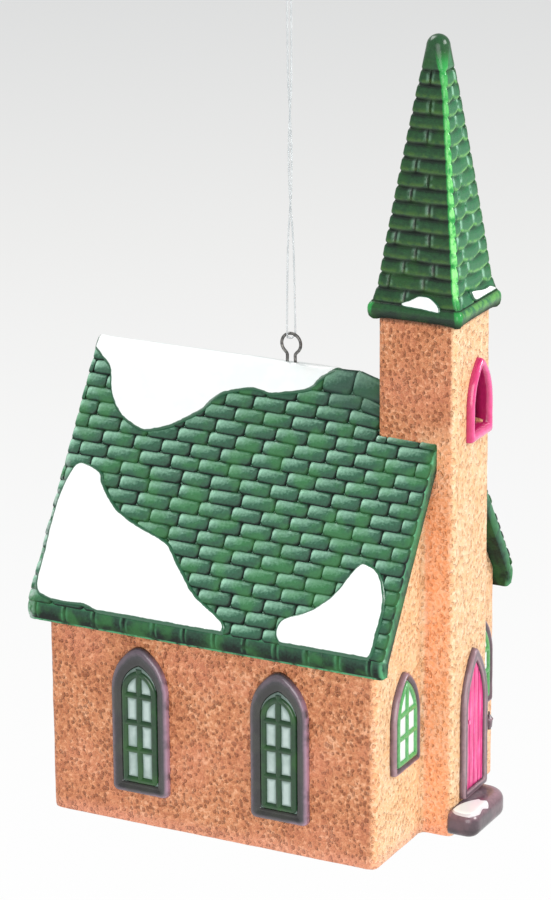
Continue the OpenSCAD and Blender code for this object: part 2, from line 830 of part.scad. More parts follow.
module step_plan() {
    left = tower_offset - step_offset - step_width / 2;
    right = left + step_width;
    front = tower_front - step_depth;
    polygon(rounded(
        [[left, front], [right, front], [right, tower_front], [left, tower_front]],
        [step_heel_radius, step_radius, 0, 0]));
}

module doorstep() {
    color(step_colour) placed() translate([0, 0, step_top - step_thickness])
        linear_extrude(step_thickness) step_plan();
}

module doorstep_snow() {
    outline = [for (p = smooth_loop(step_snow_shares))
        [tower_offset - step_offset + p[0] * step_width, tower_front - p[1] * step_depth]];
    color(snow_colour) placed() translate([0, 0, step_top]) linear_extrude(step_snow_thickness) intersection() {
        polygon(outline);
        step_plan();
    }
}

// Windows, each a raised frame with panes and a lattice inside it
module window_frame_2d(width, height, spring_share, band) {
    difference() {
        arch(width, height, spring_share, foot_radius);
        inner_arch(width, height, spring_share, band, band);
    }
}

module window_lattice_2d(width, height, spring_share, band, rows, top_row_share) {
    glass_foot = band + bar_width;
    spring = height * spring_share;
    glass_height = spring + (height - spring) * glass_rise_share - glass_foot;
    bar_rows = rows - 1 + top_row_share;
    intersection() {
        inner_arch(width, height, spring_share, band, band);
        union() {
            difference() {
                inner_arch(width, height, spring_share, band, band);
                inner_arch(width, height, spring_share, band + bar_width, band + bar_width);
            }
            translate([-bar_width / 2, band]) square([bar_width, height]);
            for (i = [1:rows - 1])
                translate([-width / 2, glass_foot + glass_height * i / bar_rows - bar_width / 2])
                    square([width, bar_width]);
        }
    }
}

// The windows by name: wall side (0 is the front), place along its wall, and size
module window_layer(side, place, layer) {
    front = side == 0;
    width = front ? front_window_width : side_window_width;
    height = front ? front_window_height : side_window_height;
    foot = front ? front_window_foot : side_window_foot;
    band = front ? front_frame_band : side_frame_band;
    spring_share = front ? front_spring_share : side_spring_share;
    rows = front ? front_rows : side_rows;
    top_row_share = front ? front_top_row_share : side_top_row_share;
    lift = layer == "lattice" ? frame_relief * pane_share : 0;
    depth_share = layer == "frame" ? 1 : layer == "panes" ? pane_share : lattice_share;
    depth = frame_relief * depth_share;
    module outline() {
        if (layer == "frame") window_frame_2d(width, height, spring_share, band);
        if (layer == "panes") inner_arch(width, height, spring_share, band, band);
        if (layer == "lattice") window_lattice_2d(width, height, spring_share, band, rows, top_row_share);
    }
    placed() {
        if (front)
            on_front(-lift, depth) translate([tower_offset + place, foot]) outline();
        else
            on_side(side, place, lift, depth) translate([0, foot]) outline();
    }
}

module frame_front_left() color(frame_colour) window_layer(0, -front_window_place, "frame");
module frame_front_right() color(frame_colour) window_layer(0, front_window_place, "frame");
module frame_left_front() color(frame_colour) window_layer(-1, side_window_front_place, "frame");
module frame_left_rear() color(frame_colour) window_layer(-1, side_window_rear_place, "frame");
module frame_right_front() color(frame_colour) window_layer(1, side_window_front_place, "frame");
module frame_right_rear() color(frame_colour) window_layer(1, side_window_rear_place, "frame");

module panes_front_left() color(pane_colour) window_layer(0, -front_window_place, "panes");
module panes_front_right() color(pane_colour) window_layer(0, front_window_place, "panes");
module panes_left_front() color(pane_colour) window_layer(-1, side_window_front_place, "panes");
module panes_left_rear() color(pane_colour) window_layer(-1, side_window_rear_place, "panes");
module panes_right_front() color(pane_colour) window_layer(1, side_window_front_place, "panes");
module panes_right_rear() color(pane_colour) window_layer(1, side_window_rear_place, "panes");

module lattice_front_left() color(lattice_colour) window_layer(0, -front_window_place, "lattice");
module lattice_front_right() color(lattice_colour) window_layer(0, front_window_place, "lattice");
module lattice_left_front() color(lattice_colour) window_layer(-1, side_window_front_place, "lattice");
module lattice_left_rear() color(lattice_colour) window_layer(-1, side_window_rear_place, "lattice");
module lattice_right_front() color(lattice_colour) window_layer(1, side_window_front_place, "lattice");
module lattice_right_rear() color(lattice_colour) window_layer(1, side_window_rear_place, "lattice");

hanging_loop();
thread_knot();
hanging_thread();
wire_eye();
nave_walls();
floor_plate();
nave_roof();
snow_ridge();
snow_rear_left();
snow_front_left();
snow_rear_right();
snow_front_right();
tower_walls();
belfry_frame();
spire_cornice();
spire();
cornice_snow_left();
cornice_snow_front();
door_frame();
door_leaf();
door_knob();
wall_lantern();
doorstep();
doorstep_snow();
frame_front_left();
frame_front_right();
frame_left_front();
frame_left_rear();
frame_right_front();
frame_right_rear();
panes_front_left();
panes_front_right();
panes_left_front();
panes_left_rear();
panes_right_front();
panes_right_rear();
lattice_front_left();
lattice_front_right();
lattice_left_front();
lattice_left_rear();
lattice_right_front();
lattice_right_rear();
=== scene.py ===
"""Looks of a hollow glazed ceramic church ornament that hangs by a doubled nylon thread."""

import bisect
import logging
import random
from dataclasses import dataclass, field
from enum import Enum
from math import acos, atan, atan2, cos, exp, hypot, pi, radians, sin, sqrt, tau
from typing import Any, Callable, Mapping, Sequence

import bmesh
import bpy
import numpy as np
from bpy.types import ID, Material, Mesh, Node, NodeSocket, NodeTree, Object
from mathutils import Matrix, Vector, noise
from mathutils.geometry import delaunay_2d_cdt, tessellate_polygon


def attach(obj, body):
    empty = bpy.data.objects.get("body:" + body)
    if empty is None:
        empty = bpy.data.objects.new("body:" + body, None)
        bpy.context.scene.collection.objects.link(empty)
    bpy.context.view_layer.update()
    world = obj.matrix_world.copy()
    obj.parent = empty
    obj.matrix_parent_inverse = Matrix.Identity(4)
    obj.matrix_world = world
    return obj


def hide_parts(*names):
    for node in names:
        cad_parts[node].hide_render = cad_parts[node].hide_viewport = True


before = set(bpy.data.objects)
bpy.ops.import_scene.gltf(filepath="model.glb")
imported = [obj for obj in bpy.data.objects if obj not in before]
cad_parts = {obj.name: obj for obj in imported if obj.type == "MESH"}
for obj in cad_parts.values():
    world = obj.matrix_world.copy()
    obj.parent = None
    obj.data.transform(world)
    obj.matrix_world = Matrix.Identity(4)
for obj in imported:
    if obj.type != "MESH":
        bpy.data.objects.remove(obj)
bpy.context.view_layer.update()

LOG = logging.getLogger("church")
MM = 0.001
# Place of the eye along the nave and height of the hook above the base, which put the origin at the hook
EYE_PLACE = 25.3
HOOK_HEIGHT = 145.65

# Relief of pieces whose glaze is even
EVEN_RELIEF = 0.75
QUARTER = pi / 2

Array = np.ndarray
Point = tuple[float, float]
Place = tuple[float, float, float]
# Turns places on an unfolded surface and heights above it into points
Onto = Callable[[Array, Array], Array]


class Body(Enum):
    """The moving bodies of the ornament."""

    HANGER = "hanger"
    THREAD = "thread"
    ORNAMENT = "ornament"


class WallSide(Enum):
    """The wall that a window stands on."""

    FRONT = 0
    LEFT = -1
    RIGHT = 1


def colour(code: str) -> tuple[float, float, float, float]:
    """Turns a six-figure sRGB code into a linear colour.

    Args:
        code: Red, green and blue in hexadecimal.

    Returns:
        The linear colour with full alpha.
    """
    parts = [int(code[i : i + 2], 16) / 255 for i in (0, 2, 4)]
    linear = [p / 12.92 if p <= 0.04045 else ((p + 0.055) / 1.055) ** 2.4 for p in parts]
    return (linear[0], linear[1], linear[2], 1)


def placed(points: Any) -> Array:
    """Moves points of the drawn church, in mm, to the row frame, in metres."""
    return (np.asarray(points, float) + (0, -EYE_PLACE, -HOOK_HEIGHT)) * MM


@dataclass(frozen=True)
class Value:
    """A value in a node tree, on which arithmetic adds math nodes."""

    writer: "NodeWriter"
    socket: NodeSocket

    def __add__(self, other: Any) -> "Value":
        """Returns the sum."""
        return self.writer.math("ADD", self, other)

    def __sub__(self, other: Any) -> "Value":
        """Returns the difference."""
        return self.writer.math("SUBTRACT", self, other)

    def __rsub__(self, other: Any) -> "Value":
        """Returns the difference from a plain number."""
        return self.writer.math("SUBTRACT", other, self)

    def __mul__(self, other: Any) -> "Value":
        """Returns the product."""
        return self.writer.math("MULTIPLY", self, other)

    def __truediv__(self, other: Any) -> "Value":
        """Returns the quotient."""
        return self.writer.math("DIVIDE", self, other)

    def __pow__(self, other: Any) -> "Value":
        """Returns the power."""
        return self.writer.math("POWER", self, other)


class NodeWriter:
    """Writes nodes and links into one node tree."""

    def __init__(self, tree: NodeTree) -> None:
        """Keeps the tree that the nodes go into."""
        self.tree = tree

    def add(self, kind: str, inputs: Mapping[int | str, Any] | None = None, **settings: Any) -> Node:
        """Adds a node.

        Args:
            kind: The node's type.
            inputs: Numbers or values of the tree by the name or index of the input.
            **settings: Properties of the node.

        Returns:
            The new node.
        """
        node = self.tree.nodes.new(kind)
        for key, value in settings.items():
            setattr(node, key, value)
        for key, value in (inputs or {}).items():
            if isinstance(value, Value):
                self.link(value, node, key)
            else:
                node.inputs[key].default_value = value
        return node

    def link(self, value: Value, node: Node, key: int | str) -> None:
        """Links a value to an input of a node."""
        self.tree.links.new(value.socket, node.inputs[key])

    def out(self, kind: str, inputs: Mapping[int | str, Any] | None = None, output: int | str = 0,
            **settings: Any) -> Value:
        """Adds a node and returns one of its outputs."""
        return Value(self, self.add(kind, inputs, **settings).outputs[output])

    def math(self, operation: str, a: Any, b: Any = 0, c: Any = 0) -> Value:
        """Adds a math node and returns its result."""
        return self.out("ShaderNodeMath", {0: a, 1: b, 2: c}, operation=operation)

    def vector(self, operation: str, a: Any, b: Any) -> Value:
        """Adds a vector math node and returns its vector."""
        second = "Scale" if operation == "SCALE" else 1
        return self.out("ShaderNodeVectorMath", {0: a, second: b}, operation=operation)

    def split(self, vector: Value) -> list[Value]:
        """Returns the three parts of a vector."""
        return [Value(self, s) for s in self.add("ShaderNodeSeparateXYZ", {0: vector}).outputs]

    def kept(self, name: str) -> Value:
        """Returns a number that the mesh keeps at its points."""
        return self.out("ShaderNodeAttribute", output="Fac", attribute_name=name)

    def smooth(self, value: Any, low: float, high: float) -> Value:
        """Returns a smooth step of a value from 0 at low to 1 at high."""
        inputs = {"Value": value, "From Min": low, "From Max": high}
        return self.out("ShaderNodeMapRange", inputs, interpolation_type="SMOOTHSTEP")

    def mix(self, factor: Any, a: Any, b: Any) -> Value:
        """Returns a mix of two colours."""
        return self.out("ShaderNodeMix", {0: factor, 6: a, 7: b}, 2, data_type="RGBA")

    def ramp(self, value: Any, stops: Sequence[tuple[float, str]]) -> Value:
        """Returns the colour of a ramp through sRGB codes at given places."""
        node = self.add("ShaderNodeValToRGB", {0: value})
        elements = node.color_ramp.elements
        for index, (place, code) in enumerate(stops):
            element = elements[index] if index < 2 else elements.new(place)
            element.position = place
            element.color = colour(code)
        return Value(self, node.outputs[0])

    def noise(self, vector: Any, scale: float, detail: float = 2, roughness: float = 0.5) -> Value:
        """Returns the strength of a noise on coordinates in mm."""
        inputs = {"Vector": vector, "Scale": scale, "Detail": detail, "Roughness": roughness}
        return self.out("ShaderNodeTexNoise", inputs)

    def drawn_place(self) -> Value:
        """Returns the coordinates of the drawn church in mm."""
        source = self.out("ShaderNodeTexCoord", output="Object")
        return self.vector("ADD", self.vector("SCALE", source, 1 / MM), (0, EYE_PLACE, HOOK_HEIGHT))


@dataclass(frozen=True)
class Finish:
    """A finish whose colour follows the relief value that the piece keeps: deep in the joints and pale on the crowns,
    and on some pieces painted light and shade.
    """

    name: str
    slot: str
    deep: str
    body: str
    crown: str
    patch: str
    patch_share: float = 0.4
    roughness: float = 0.28
    coat: float = 0.3
    grain: float = 0.5
    grain_depth: float = 0.03
    specular: float = 0.5
    joint_roughness: float = 0.0
    coat_roughness: float = 0.12

    def material(self) -> Material:
        """Returns the finish's material, made once."""
        made = bpy.data.materials.get(self.name)
        if made is None:
            made = bpy.data.materials.new(self.name)
            made.use_nodes = True
            w = NodeWriter(made.node_tree)
            shader = made.node_tree.nodes["Principled BSDF"]
            shader.inputs["Roughness"].default_value = self.roughness
            shader.inputs["Specular IOR Level"].default_value = self.specular
            shader.inputs["Coat Weight"].default_value = self.coat
            shader.inputs["Coat Roughness"].default_value = self.coat_roughness
            self.dress(w, shader, w.drawn_place())
        return made

    def dress(self, w: NodeWriter, shader: Node, place: Value) -> None:
        """Writes the colour and the bump of the finish.

        Args:
            w: The writer of the material's tree.
            shader: The surface shader.
            place: Coordinates of the drawn church in mm.
        """
        grain = w.noise(place, 1 / self.grain, 3)
        tone = self.tone(w, place, grain)
        w.link(self.tint(w, place, tone), shader, "Base Color")
        if self.joint_roughness:
            inputs = {"Value": w.kept("relief"), "From Min": 0.15, "From Max": 0.55, "To Min": self.joint_roughness,
                      "To Max": self.roughness}
            w.link(w.out("ShaderNodeMapRange", inputs), shader, "Roughness")
        self.bump(w, shader, grain, self.grain_depth)

    def tone(self, w: NodeWriter, place: Value, grain: Value) -> Value:
        """Returns the colour by relief, with patches of the second tone."""
        level = w.kept("relief") + (grain - 0.5) * 0.35
        base = w.ramp(level, [(0.1, self.deep), (0.55, self.body), (1, self.crown)])
        patches = w.smooth(w.noise(place, 0.24, 3), 0.45, 0.66)
        return w.mix(patches * self.patch_share, base, colour(self.patch))

    def tint(self, w: NodeWriter, place: Value, tone: Value) -> Value:
        """Returns the final colour, which a finish with marks of its own changes."""
        return tone

    def bump(self, w: NodeWriter, shader: Node, height: Value, depth: float) -> None:
        """Links a bump of a given depth in mm."""
        inputs = {"Strength": 1, "Distance": depth * MM, "Height": height}
        w.link(w.out("ShaderNodeBump", inputs), shader, "Normal")


@dataclass(frozen=True)
class RoofGlaze(Finish):
    """Roof glaze that breaks to a clear green on the edges, with painted highlights along the eaves' roll, and frosted
    tiles along the rear of the left slope.
    """

    bright: str = "5DB07C"
    thick: str = "2C4A40"
    frost: str = "C9D8D2"

    def tint(self, w: NodeWriter, place: Value, tone: Value) -> Value:
        """Returns the colour with the clear edges and their painted highlights, and the frosted tiles."""
        thin = w.smooth(w.noise(place, 0.8), 0.25, 0.6)
        # The edge mark is clear glaze on the rake's bead and rim, and painted highlight on the eaves' roll
        tone = w.mix(w.kept("edge") * thin, tone, colour(self.bright))
        x, y, z = w.split(place)
        # The glaze has run thick and dark over the ridge beside the tower
        thick = w.smooth(z, 66, 69) * w.smooth(y, 20, 16)
        tone = w.mix(thick * 0.55, tone, colour(self.thick))
        # A row of frosted tiles along the rear edge of the left slope
        along = w.smooth(y, 58.2, 59.2) * w.smooth(y, 59.75, 59.6)
        left = w.smooth(z, 58, 53) * w.smooth(x, 1, -1)
        broken = w.smooth(w.noise(place, 0.9), 0.36, 0.62)
        return w.mix(along * left * broken * 0.5, tone, colour(self.frost))


@dataclass(frozen=True)
class SpireGlaze(Finish):
    """Spire glaze: painted paler and bluish on the lit front, olive on the shingles' feet and lime there on the front,
    pale at their sides, with painted highlights on the corners.
    """

    front: str = "3A9C66"
    olive: str = "5A7E2E"
    lime: str = "84CC5C"
    pale: str = "A8D8BC"
    corner: str = "2E9A48"
    bright: str = "90EE88"

    def tint(self, w: NodeWriter, place: Value, tone: Value) -> Value:
        """Returns the colour with the marks of thick and thin glaze, and the painted light of the front face and the
        corners.
        """
        front, edge = w.kept("front"), w.kept("edge")
        broken = w.smooth(w.noise(place, 0.9), 0.3, 0.6)
        # Painted light: the lit front face is painted paler and bluish, and the shingles' feet on it lime rather than
        # olive
        face = front * w.smooth(w.kept("relief"), 0.1, 0.7)
        tone = w.mix(face * 0.36, tone, colour(self.front))
        foot = w.mix(front, colour(self.olive), colour(self.lime))
        tone = w.mix(w.kept("olive") * broken, tone, foot)
        tone = w.mix(w.kept("pale") * broken, tone, colour(self.pale))
        # Painted highlights on the corners
        tone = w.mix(w.smooth(edge, 0.15, 0.7), tone, colour(self.corner))
        return w.mix(w.smooth(edge, 0.62, 0.94) * broken, tone, colour(self.bright))


@dataclass(frozen=True)
class FrameGlaze(Finish):
    """Frame glaze with a pink painted highlight on the outer edge that faces the front."""

    bright: str = "B58CA2"

    def tint(self, w: NodeWriter, place: Value, tone: Value) -> Value:
        """Returns the colour with the pink painted highlight."""
        broken = w.smooth(w.noise(place, 0.5), 0.2, 0.6)
        return w.mix(w.kept("edge") * broken, tone, colour(self.bright))


@dataclass(frozen=True)
class SnowGlaze(Finish):
    """White glaze with the roof's green on its rim, in a band widened as painted shade."""

    rim: str = "2A5E42"

    def tint(self, w: NodeWriter, place: Value, tone: Value) -> Value:
        """Returns the white with its green rim."""
        uneven = w.kept("rim") + (w.noise(place, 0.8) - 0.5) * 0.5
        return w.mix(w.smooth(uneven, 0.42, 0.6), tone, colour(self.rim))


@dataclass(frozen=True)
class SpongedWall(Finish):
    """Sponged wall glaze: brown in the pits of the side walls and pale peach on the front.

    The four colours of a finish are those of the side walls: pits, body, crowns and blush.
    """

    side_shade: str = "AE663E"
    side_light: str = "D88F61"
    front: tuple[str, ...] = ("EDB580", "F3C08F", "F6C99B", "FAD6B0")
    front_pit: str = "CF8C52"
    orange: tuple[str, ...] = ("F49E68", "FDAE7C", "FFBE94")
    orange_pit: str = "D87C48"
    foot: str = "F0A084"
    cornice_shadow: str = "4A2C16"

    def dress(self, w: NodeWriter, shader: Node, place: Value) -> None:
        """Writes the stipple, the pale front and the pitted bump.

        Args:
            w: The writer of the material's tree.
            shader: The surface shader.
            place: Coordinates of the drawn church in mm.
        """
        x, y, z = w.split(place)
        # The pits are small, upright and a little bent, one to each square millimetre or so
        bend = w.out("ShaderNodeTexNoise", {"Vector": place, "Scale": 1.1, "Detail": 2}, 1)
        bend = w.vector("SCALE", w.vector("SUBTRACT", bend, (0.5, 0.5, 0.5)), 0.6)
        strokes = w.out("ShaderNodeMapping", {"Vector": w.vector("ADD", place, bend), "Scale": (1.25, 1.25, 1)})
        distance = w.out("ShaderNodeTexVoronoi", {"Vector": strokes, "Scale": 1.15, "Randomness": 1}, "Distance")
        pit = w.smooth(distance - w.noise(place, 0.45) * 0.5, 0.22, -0.08)
        stipple = w.noise(place, 1.5, 2, 0.6)
        level = stipple + (w.noise(place, 0.2) - 0.5) * 0.5
        sides = (self.side_shade, self.body, self.side_light, self.crown)
        side = w.ramp(level, list(zip((0.28, 0.42, 0.56, 0.72), sides)))
        side = w.mix(pit * 0.62, side, colour(self.deep))
        front = w.ramp(level, list(zip((0.28, 0.42, 0.54, 0.70), self.front)))
        front = w.mix(pit * 0.45, front, colour(self.front_pit))
        orange = w.ramp(level, list(zip((0.28, 0.46, 0.65), self.orange)))
        orange = w.mix(pit * 0.25, orange, colour(self.orange_pit))
        blush = w.smooth(w.noise(place, 0.08), 0.45, 0.7) * 0.35
        side = w.mix(blush, side, colour(self.patch))
        # The nave's front is at y = 0, the tower's at y = -5.1, and the tower's cheeks lie between them
        nave_front = 1.0 - w.smooth(y, 0.15, 1.3)
        tower_front = 1.0 - w.smooth(y, -4.9, -4.2)
        above_roof = w.smooth(z, 60, 69)
        cheek = (1.0 - w.smooth(y, -0.6, -0.1)) * (1.0 - above_roof)
        corner = w.smooth(w.math("ABSOLUTE", x), 19.6, 22.2)
        tone = w.mix(nave_front, side, front)
        tone = w.mix(nave_front * corner * 0.6, tone, orange)
        tone = w.mix(above_roof * (1.0 - tower_front), tone, side)
        tone = w.mix(cheek, tone, orange)
        tone = w.mix(tower_front, tone, front)
        foot = 1.0 - w.smooth(z, 0.4, 3.2)
        tone = w.mix(foot * 0.45, tone, colour(self.foot))
        # Painted shadow: a dark band on the wall under the cornice
        tone = w.mix(w.smooth(z, 82.7, 83.6) * 0.85, tone, colour(self.cornice_shadow))
        w.link(tone, shader, "Base Color")
        self.bump(w, shader, w.smooth(stipple, 0.3, 0.7) * 0.8 - pit, self.grain_depth)


@dataclass(frozen=True)
class NylonFinish(Finish):
    """Clear nylon with a faint cloudiness along it."""

    clearness: float = 0.75
    refraction: float = 1.53

    def dress(self, w: NodeWriter, shader: Node, place: Value) -> None:
        """Writes the clear plastic."""
        shader.inputs["Transmission Weight"].default_value = self.clearness
        shader.inputs["IOR"].default_value = self.refraction
        cloud = w.noise(place, 0.7)
        w.link(w.ramp(cloud, [(0.3, self.body), (0.7, self.crown)]), shader, "Base Color")
        self.bump(w, shader, cloud, self.grain_depth)


@dataclass(frozen=True)
class WireFinish(Finish):
    """Drawn steel wire with dull streaks."""

    metal: float = 0.85

    def dress(self, w: NodeWriter, shader: Node, place: Value) -> None:
        """Writes the metal."""
        shader.inputs["Metallic"].default_value = self.metal
        streaks = w.noise(place, 2.2, 3)
        w.link(w.ramp(streaks, [(0.3, self.deep), (0.5, self.body), (0.7, self.crown)]), shader, "Base Color")
        self.bump(w, shader, streaks, self.grain_depth)


WHITES = ("E4EBEB", "F1F6F5", "F8FAF9", "E9F4F4")
WALL = SpongedWall("sponged_wall", "wall_glaze", "8E4A26", "CA7E52", "ECAD84", "DC8468",
                   roughness=0.5, coat=0.1, grain_depth=0.24)
CLAY = Finish("bare_clay", "bare_clay", "B9AC98", "DDD2BF", "EAE2D2", "CFC0A8",
              roughness=0.8, coat=0, grain_depth=0.08)
ROOF = RoofGlaze("roof_green", "roof_glaze", "04150D", "2E6148", "A0D4B8", "3A8440", 0.45,
                 roughness=0.34, coat=0, grain=0.4, grain_depth=0.05, joint_roughness=0.8)
SPIRE = SpireGlaze("spire_green", "spire_glaze", "020F09", "0F2C1B", "2B6036", "26561F", 0.45,
                   roughness=0.26, coat=0, grain=0.6, grain_depth=0.05, specular=0.45, joint_roughness=0.9)
SNOW = SnowGlaze("snow_white", "snow_glaze", *WHITES, grain=3, grain_depth=0.06)
STEP_SNOW = SnowGlaze("snow_on_step", "snow_glaze", *WHITES, grain=3, grain_depth=0.06, rim="DAD4D6")
# The front finishes of the frames, lattices and panes are painted lighter than the side ones, as painted light on the
# front and painted shade on the sides
FRAME = FrameGlaze("mauve_frame", "frame_glaze", "15140F", "2C2A30", "6A5A66", "34382E", 0.5,
                   roughness=0.24, coat=0.9, grain=0.7, grain_depth=0.06, specular=0.4)
FRONT_FRAME = Finish("front_mauve_frame", "frame_glaze", "33262A", "66505A", "A5868E", "7E626C", 0.5,
                     coat=0.5, grain=0.7)
STEP = Finish("mauve_step", "step_glaze", "1F191B", "54414A", "A5838C", "72545C", 0.5, coat=0.5, grain=0.6)
LATTICE = Finish("lattice_green", "lattice_glaze", "06190B", "0D3018", "225A2C", "2A621A", 0.45,
                 coat=0.5, specular=0.4)
FRONT_LATTICE = Finish("front_lattice_green", "lattice_glaze", "1E5A2A", "3C8E46", "8CD090", "4FA84C", coat=0.4)
PANE = Finish("pane_shaded", "pane_glaze", "4F645B", "94A9A2", "BCCDC8", "7F958D", 0.5,
              roughness=0.22, coat=0.4, grain=1.2)
FRONT_PANE = Finish("pane_lit", "pane_glaze", "AEBDB6", "E0E9E5", "F1F5F3", "CDDAD3", roughness=0.25, grain=1.2)
DOOR = Finish("door_magenta", "door_glaze", "A01A58", "E23384", "FF7AB4", "CC2470", grain=0.7)
BELFRY = Finish("belfry_magenta", "door_glaze", "8E1546", "C62668", "F0609F", "D02E72",
                roughness=0.2, coat=0.8, grain=0.9)
WIRE = WireFinish("eye_steel", "eye_wire", "3A3A3A", "6B6A68", "96948F", "6B6A68",
                  roughness=0.35, coat=0, grain_depth=0.01)
NYLON = NylonFinish("clear_nylon", "thread", "D5DADC", "DDE2E4", "F4F7F8", "DDE2E4",
                    roughness=0.12, coat=0, grain_depth=0.004)


@dataclass
class Shape:
    """A mesh in the making, in mm of the drawn church."""

    points: Array
    faces: list[Sequence[int]]
    values: dict[str, Array] = field(default_factory=dict)

    def joined(self, other: "Shape") -> "Shape":
        """Returns this shape and another one as one."""
        start = len(self.points)
        none, nothing = np.zeros(start), np.zeros(len(other.points))
        values = {n: np.concatenate([self.values.get(n, none), other.values.get(n, nothing)])
                  for n in {**self.values, **other.values}}
        faces = list(self.faces) + [[start + i for i in f] for f in other.faces]
        return Shape(np.concatenate([self.points, other.points]), faces, values)


def linked(name: str, data: ID) -> Object:
    """Returns a new object of the scene for a mesh, a lamp or a camera."""
    thing = bpy.data.objects.new(name, data)
    bpy.context.scene.collection.objects.link(thing)
    return thing


def finished(name: str, mesh: Mesh, node: str, finish: Finish, body: Body = Body.ORNAMENT) -> Object:
    """Puts a mesh of the row frame into the scene as a finished piece.

    Args:
        name: The piece's name.
        mesh: Its mesh, in metres.
        node: The CAD node that it stands for.
        finish: Its finish.
        body: The body that it rides on.

    Returns:
        The piece.
    """
    piece = linked(name, mesh)
    mesh.materials.clear()
    mesh.materials.append(finish.material())
    for polygon in mesh.polygons:
        polygon.use_smooth = True
        polygon.material_index = 0
    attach(piece, body.value)
    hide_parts(node)
    LOG.info("%s: %d faces on %s", name, len(mesh.polygons), body.value)
    return piece


def keep(mesh: Mesh, name: str, values: Array) -> None:
    """Keeps a number for each point of a mesh."""
    mesh.attributes.new(name, "FLOAT", "POINT").data.foreach_set("value", np.asarray(values, np.float32))


def drawn_mesh(name: str, points: Array, shape: Shape) -> Mesh:
    """Returns the mesh of a closed shape on given points, with its faces turned outwards."""
    mesh = bpy.data.meshes.new(name)
    mesh.from_pydata(points.tolist(), [], [list(f) for f in shape.faces])
    for key, values in shape.values.items():
        keep(mesh, key, values)
    turned_out(mesh)
    return mesh


def made(name: str, shape: Shape, node: str, finish: Finish, body: Body = Body.ORNAMENT) -> Object:
    """Makes a finished piece of a closed shape."""
    shape.values.setdefault("relief", np.full(len(shape.points), EVEN_RELIEF))
    return finished(name, drawn_mesh(name, placed(shape.points), shape), node, finish, body)


def turned_out(mesh: Mesh) -> None:
    """Turns the faces of a closed mesh outwards."""
    work = bmesh.new()
    work.from_mesh(mesh)
    bmesh.ops.recalc_face_normals(work, faces=work.faces)
    work.to_mesh(mesh)
    work.free()
    mesh.update()


def grid_faces(rows: int, columns: int, closed_rows: bool = False, closed_columns: bool = False) -> list[list[int]]:
    """Returns the quads of a grid of points, row by row.

    Args:
        rows: Number of rows.
        columns: Points in each row.
        closed_rows: Whether the last row joins the first.
        closed_columns: Whether each row closes on itself.
    """
    faces = []
    for i in range(rows if closed_rows else rows - 1):
        for j in range(columns if closed_columns else columns - 1):
            a, b = i * columns + j, i * columns + (j + 1) % columns
            shift = ((i + 1) % rows - i) * columns
            faces.append([a, b, b + shift, a + shift])
    return faces


def level_ring(plan: Array, z: Any) -> Array:
    """Returns the points of a plan at a height, or each at its own."""
    return np.stack([plan[:, 0], plan[:, 1], np.broadcast_to(z, len(plan))], 1)


def lofted(rings: Array, values: Mapping[str, Array] | None = None,
           cap: Sequence[Sequence[int]] | None = None) -> Shape:
    """Returns a closed shape through rings of points, capped at both ends.

    Args:
        rings: Points as rings by points by three.
        values: Numbers for each point, as rings by points.
        cap: Faces of a cap by the numbers of a ring's points, or nothing for one face round the ring.
    """
    count, size = rings.shape[:2]
    faces = grid_faces(count, size, closed_columns=True)
    for face in cap or [range(size)]:
        faces.append(list(face)[::-1])
        faces.append([(count - 1) * size + j for j in face])
    return Shape(rings.reshape(-1, 3), faces, {k: v.reshape(-1) for k, v in (values or {}).items()})


def sheet_solid(front: Array, back: Array, relief: Array) -> Shape:
    """Returns the closed solid between a front grid and a back grid of the same size."""
    rows, columns = front.shape[:2]
    count = rows * columns
    faces = grid_faces(rows, columns)
    faces += [[count + i for i in f][::-1] for f in grid_faces(rows, columns)]
    rim = list(range(columns))
    rim += [i * columns + columns - 1 for i in range(1, rows)]
    rim += [(rows - 1) * columns + j for j in range(columns - 2, -1, -1)]
    rim += [i * columns for i in range(rows - 2, 0, -1)]
    faces += [[a, b, b + count, a + count] for a, b in zip(rim, rim[1:] + rim[:1])]
    points = np.concatenate([front.reshape(-1, 3), back.reshape(-1, 3)])
    return Shape(points, faces, {"relief": np.concatenate([relief.reshape(-1), np.zeros(count)])})


def tube(path: Array, radius: float, sides: int, side: Sequence[float]) -> Shape:
    """Returns a capped tube along a path.

    Args:
        path: Centres of the rings.
        radius: Radius of the tube.
        sides: Points in each ring.
        side: A direction that is nowhere along the path.
    """
    path = np.asarray(path, float)
    along = np.gradient(path, axis=0)
    along /= np.linalg.norm(along, axis=1)[:, None]
    side = np.asarray(side, float)
    across = side - along * (along @ side)[:, None]
    across /= np.linalg.norm(across, axis=1)[:, None]
    third = np.cross(across, along)
    angles = (np.arange(sides) * tau / sides)[None, :, None]
    rings = path[:, None] + radius * (np.cos(angles) * third[:, None] + np.sin(angles) * across[:, None])
    return lofted(rings, {"relief": np.full(rings.shape[:2], EVEN_RELIEF)})


def smooth_line(points: Sequence[Sequence[float]], steps: int, closed: bool = False) -> Array:
    """Returns the smooth curve through points, in steps between them.

    Args:
        points: Points of a line or a loop.
        steps: Steps from each point to the next.
        closed: Whether the points are a loop. The ends of a line are kept.
    """
    p = np.asarray(points, float)
    run = np.concatenate([p[-1:], p, p[:2]] if closed else [p[:1], p, p[-1:]])
    out = []
    for a, b, c, d in zip(run, run[1:], run[2:], run[3:]):
        bend, twist = 2 * a - 5 * b + 4 * c - d, 3 * b - a - 3 * c + d
        out += [0.5 * (2 * b + (c - a) * t + bend * t * t + twist * t**3) for t in np.arange(steps) / steps]
    return np.array(out if closed else out + [p[-1]])


def between(x: float, places: Sequence[float], values: Sequence[float]) -> float:
    """Returns the number for a place on the line through places and their values."""
    return float(np.interp(x, places, values))


def bell(away: Array, width: float) -> Array:
    """Returns a bell curve over distances from its middle."""
    return np.exp(-((away / width) ** 2))


def wobble(points: Array, size: float, amount: float) -> Array:
    """Returns small uneven offsets for points, as a hand-finished cast has.

    Args:
        points: Points in mm.
        size: Size of the unevenness in mm.
        amount: Its greatest offset in mm.
    """
    return np.array([noise.noise(Vector(p) / size) * amount for p in points])


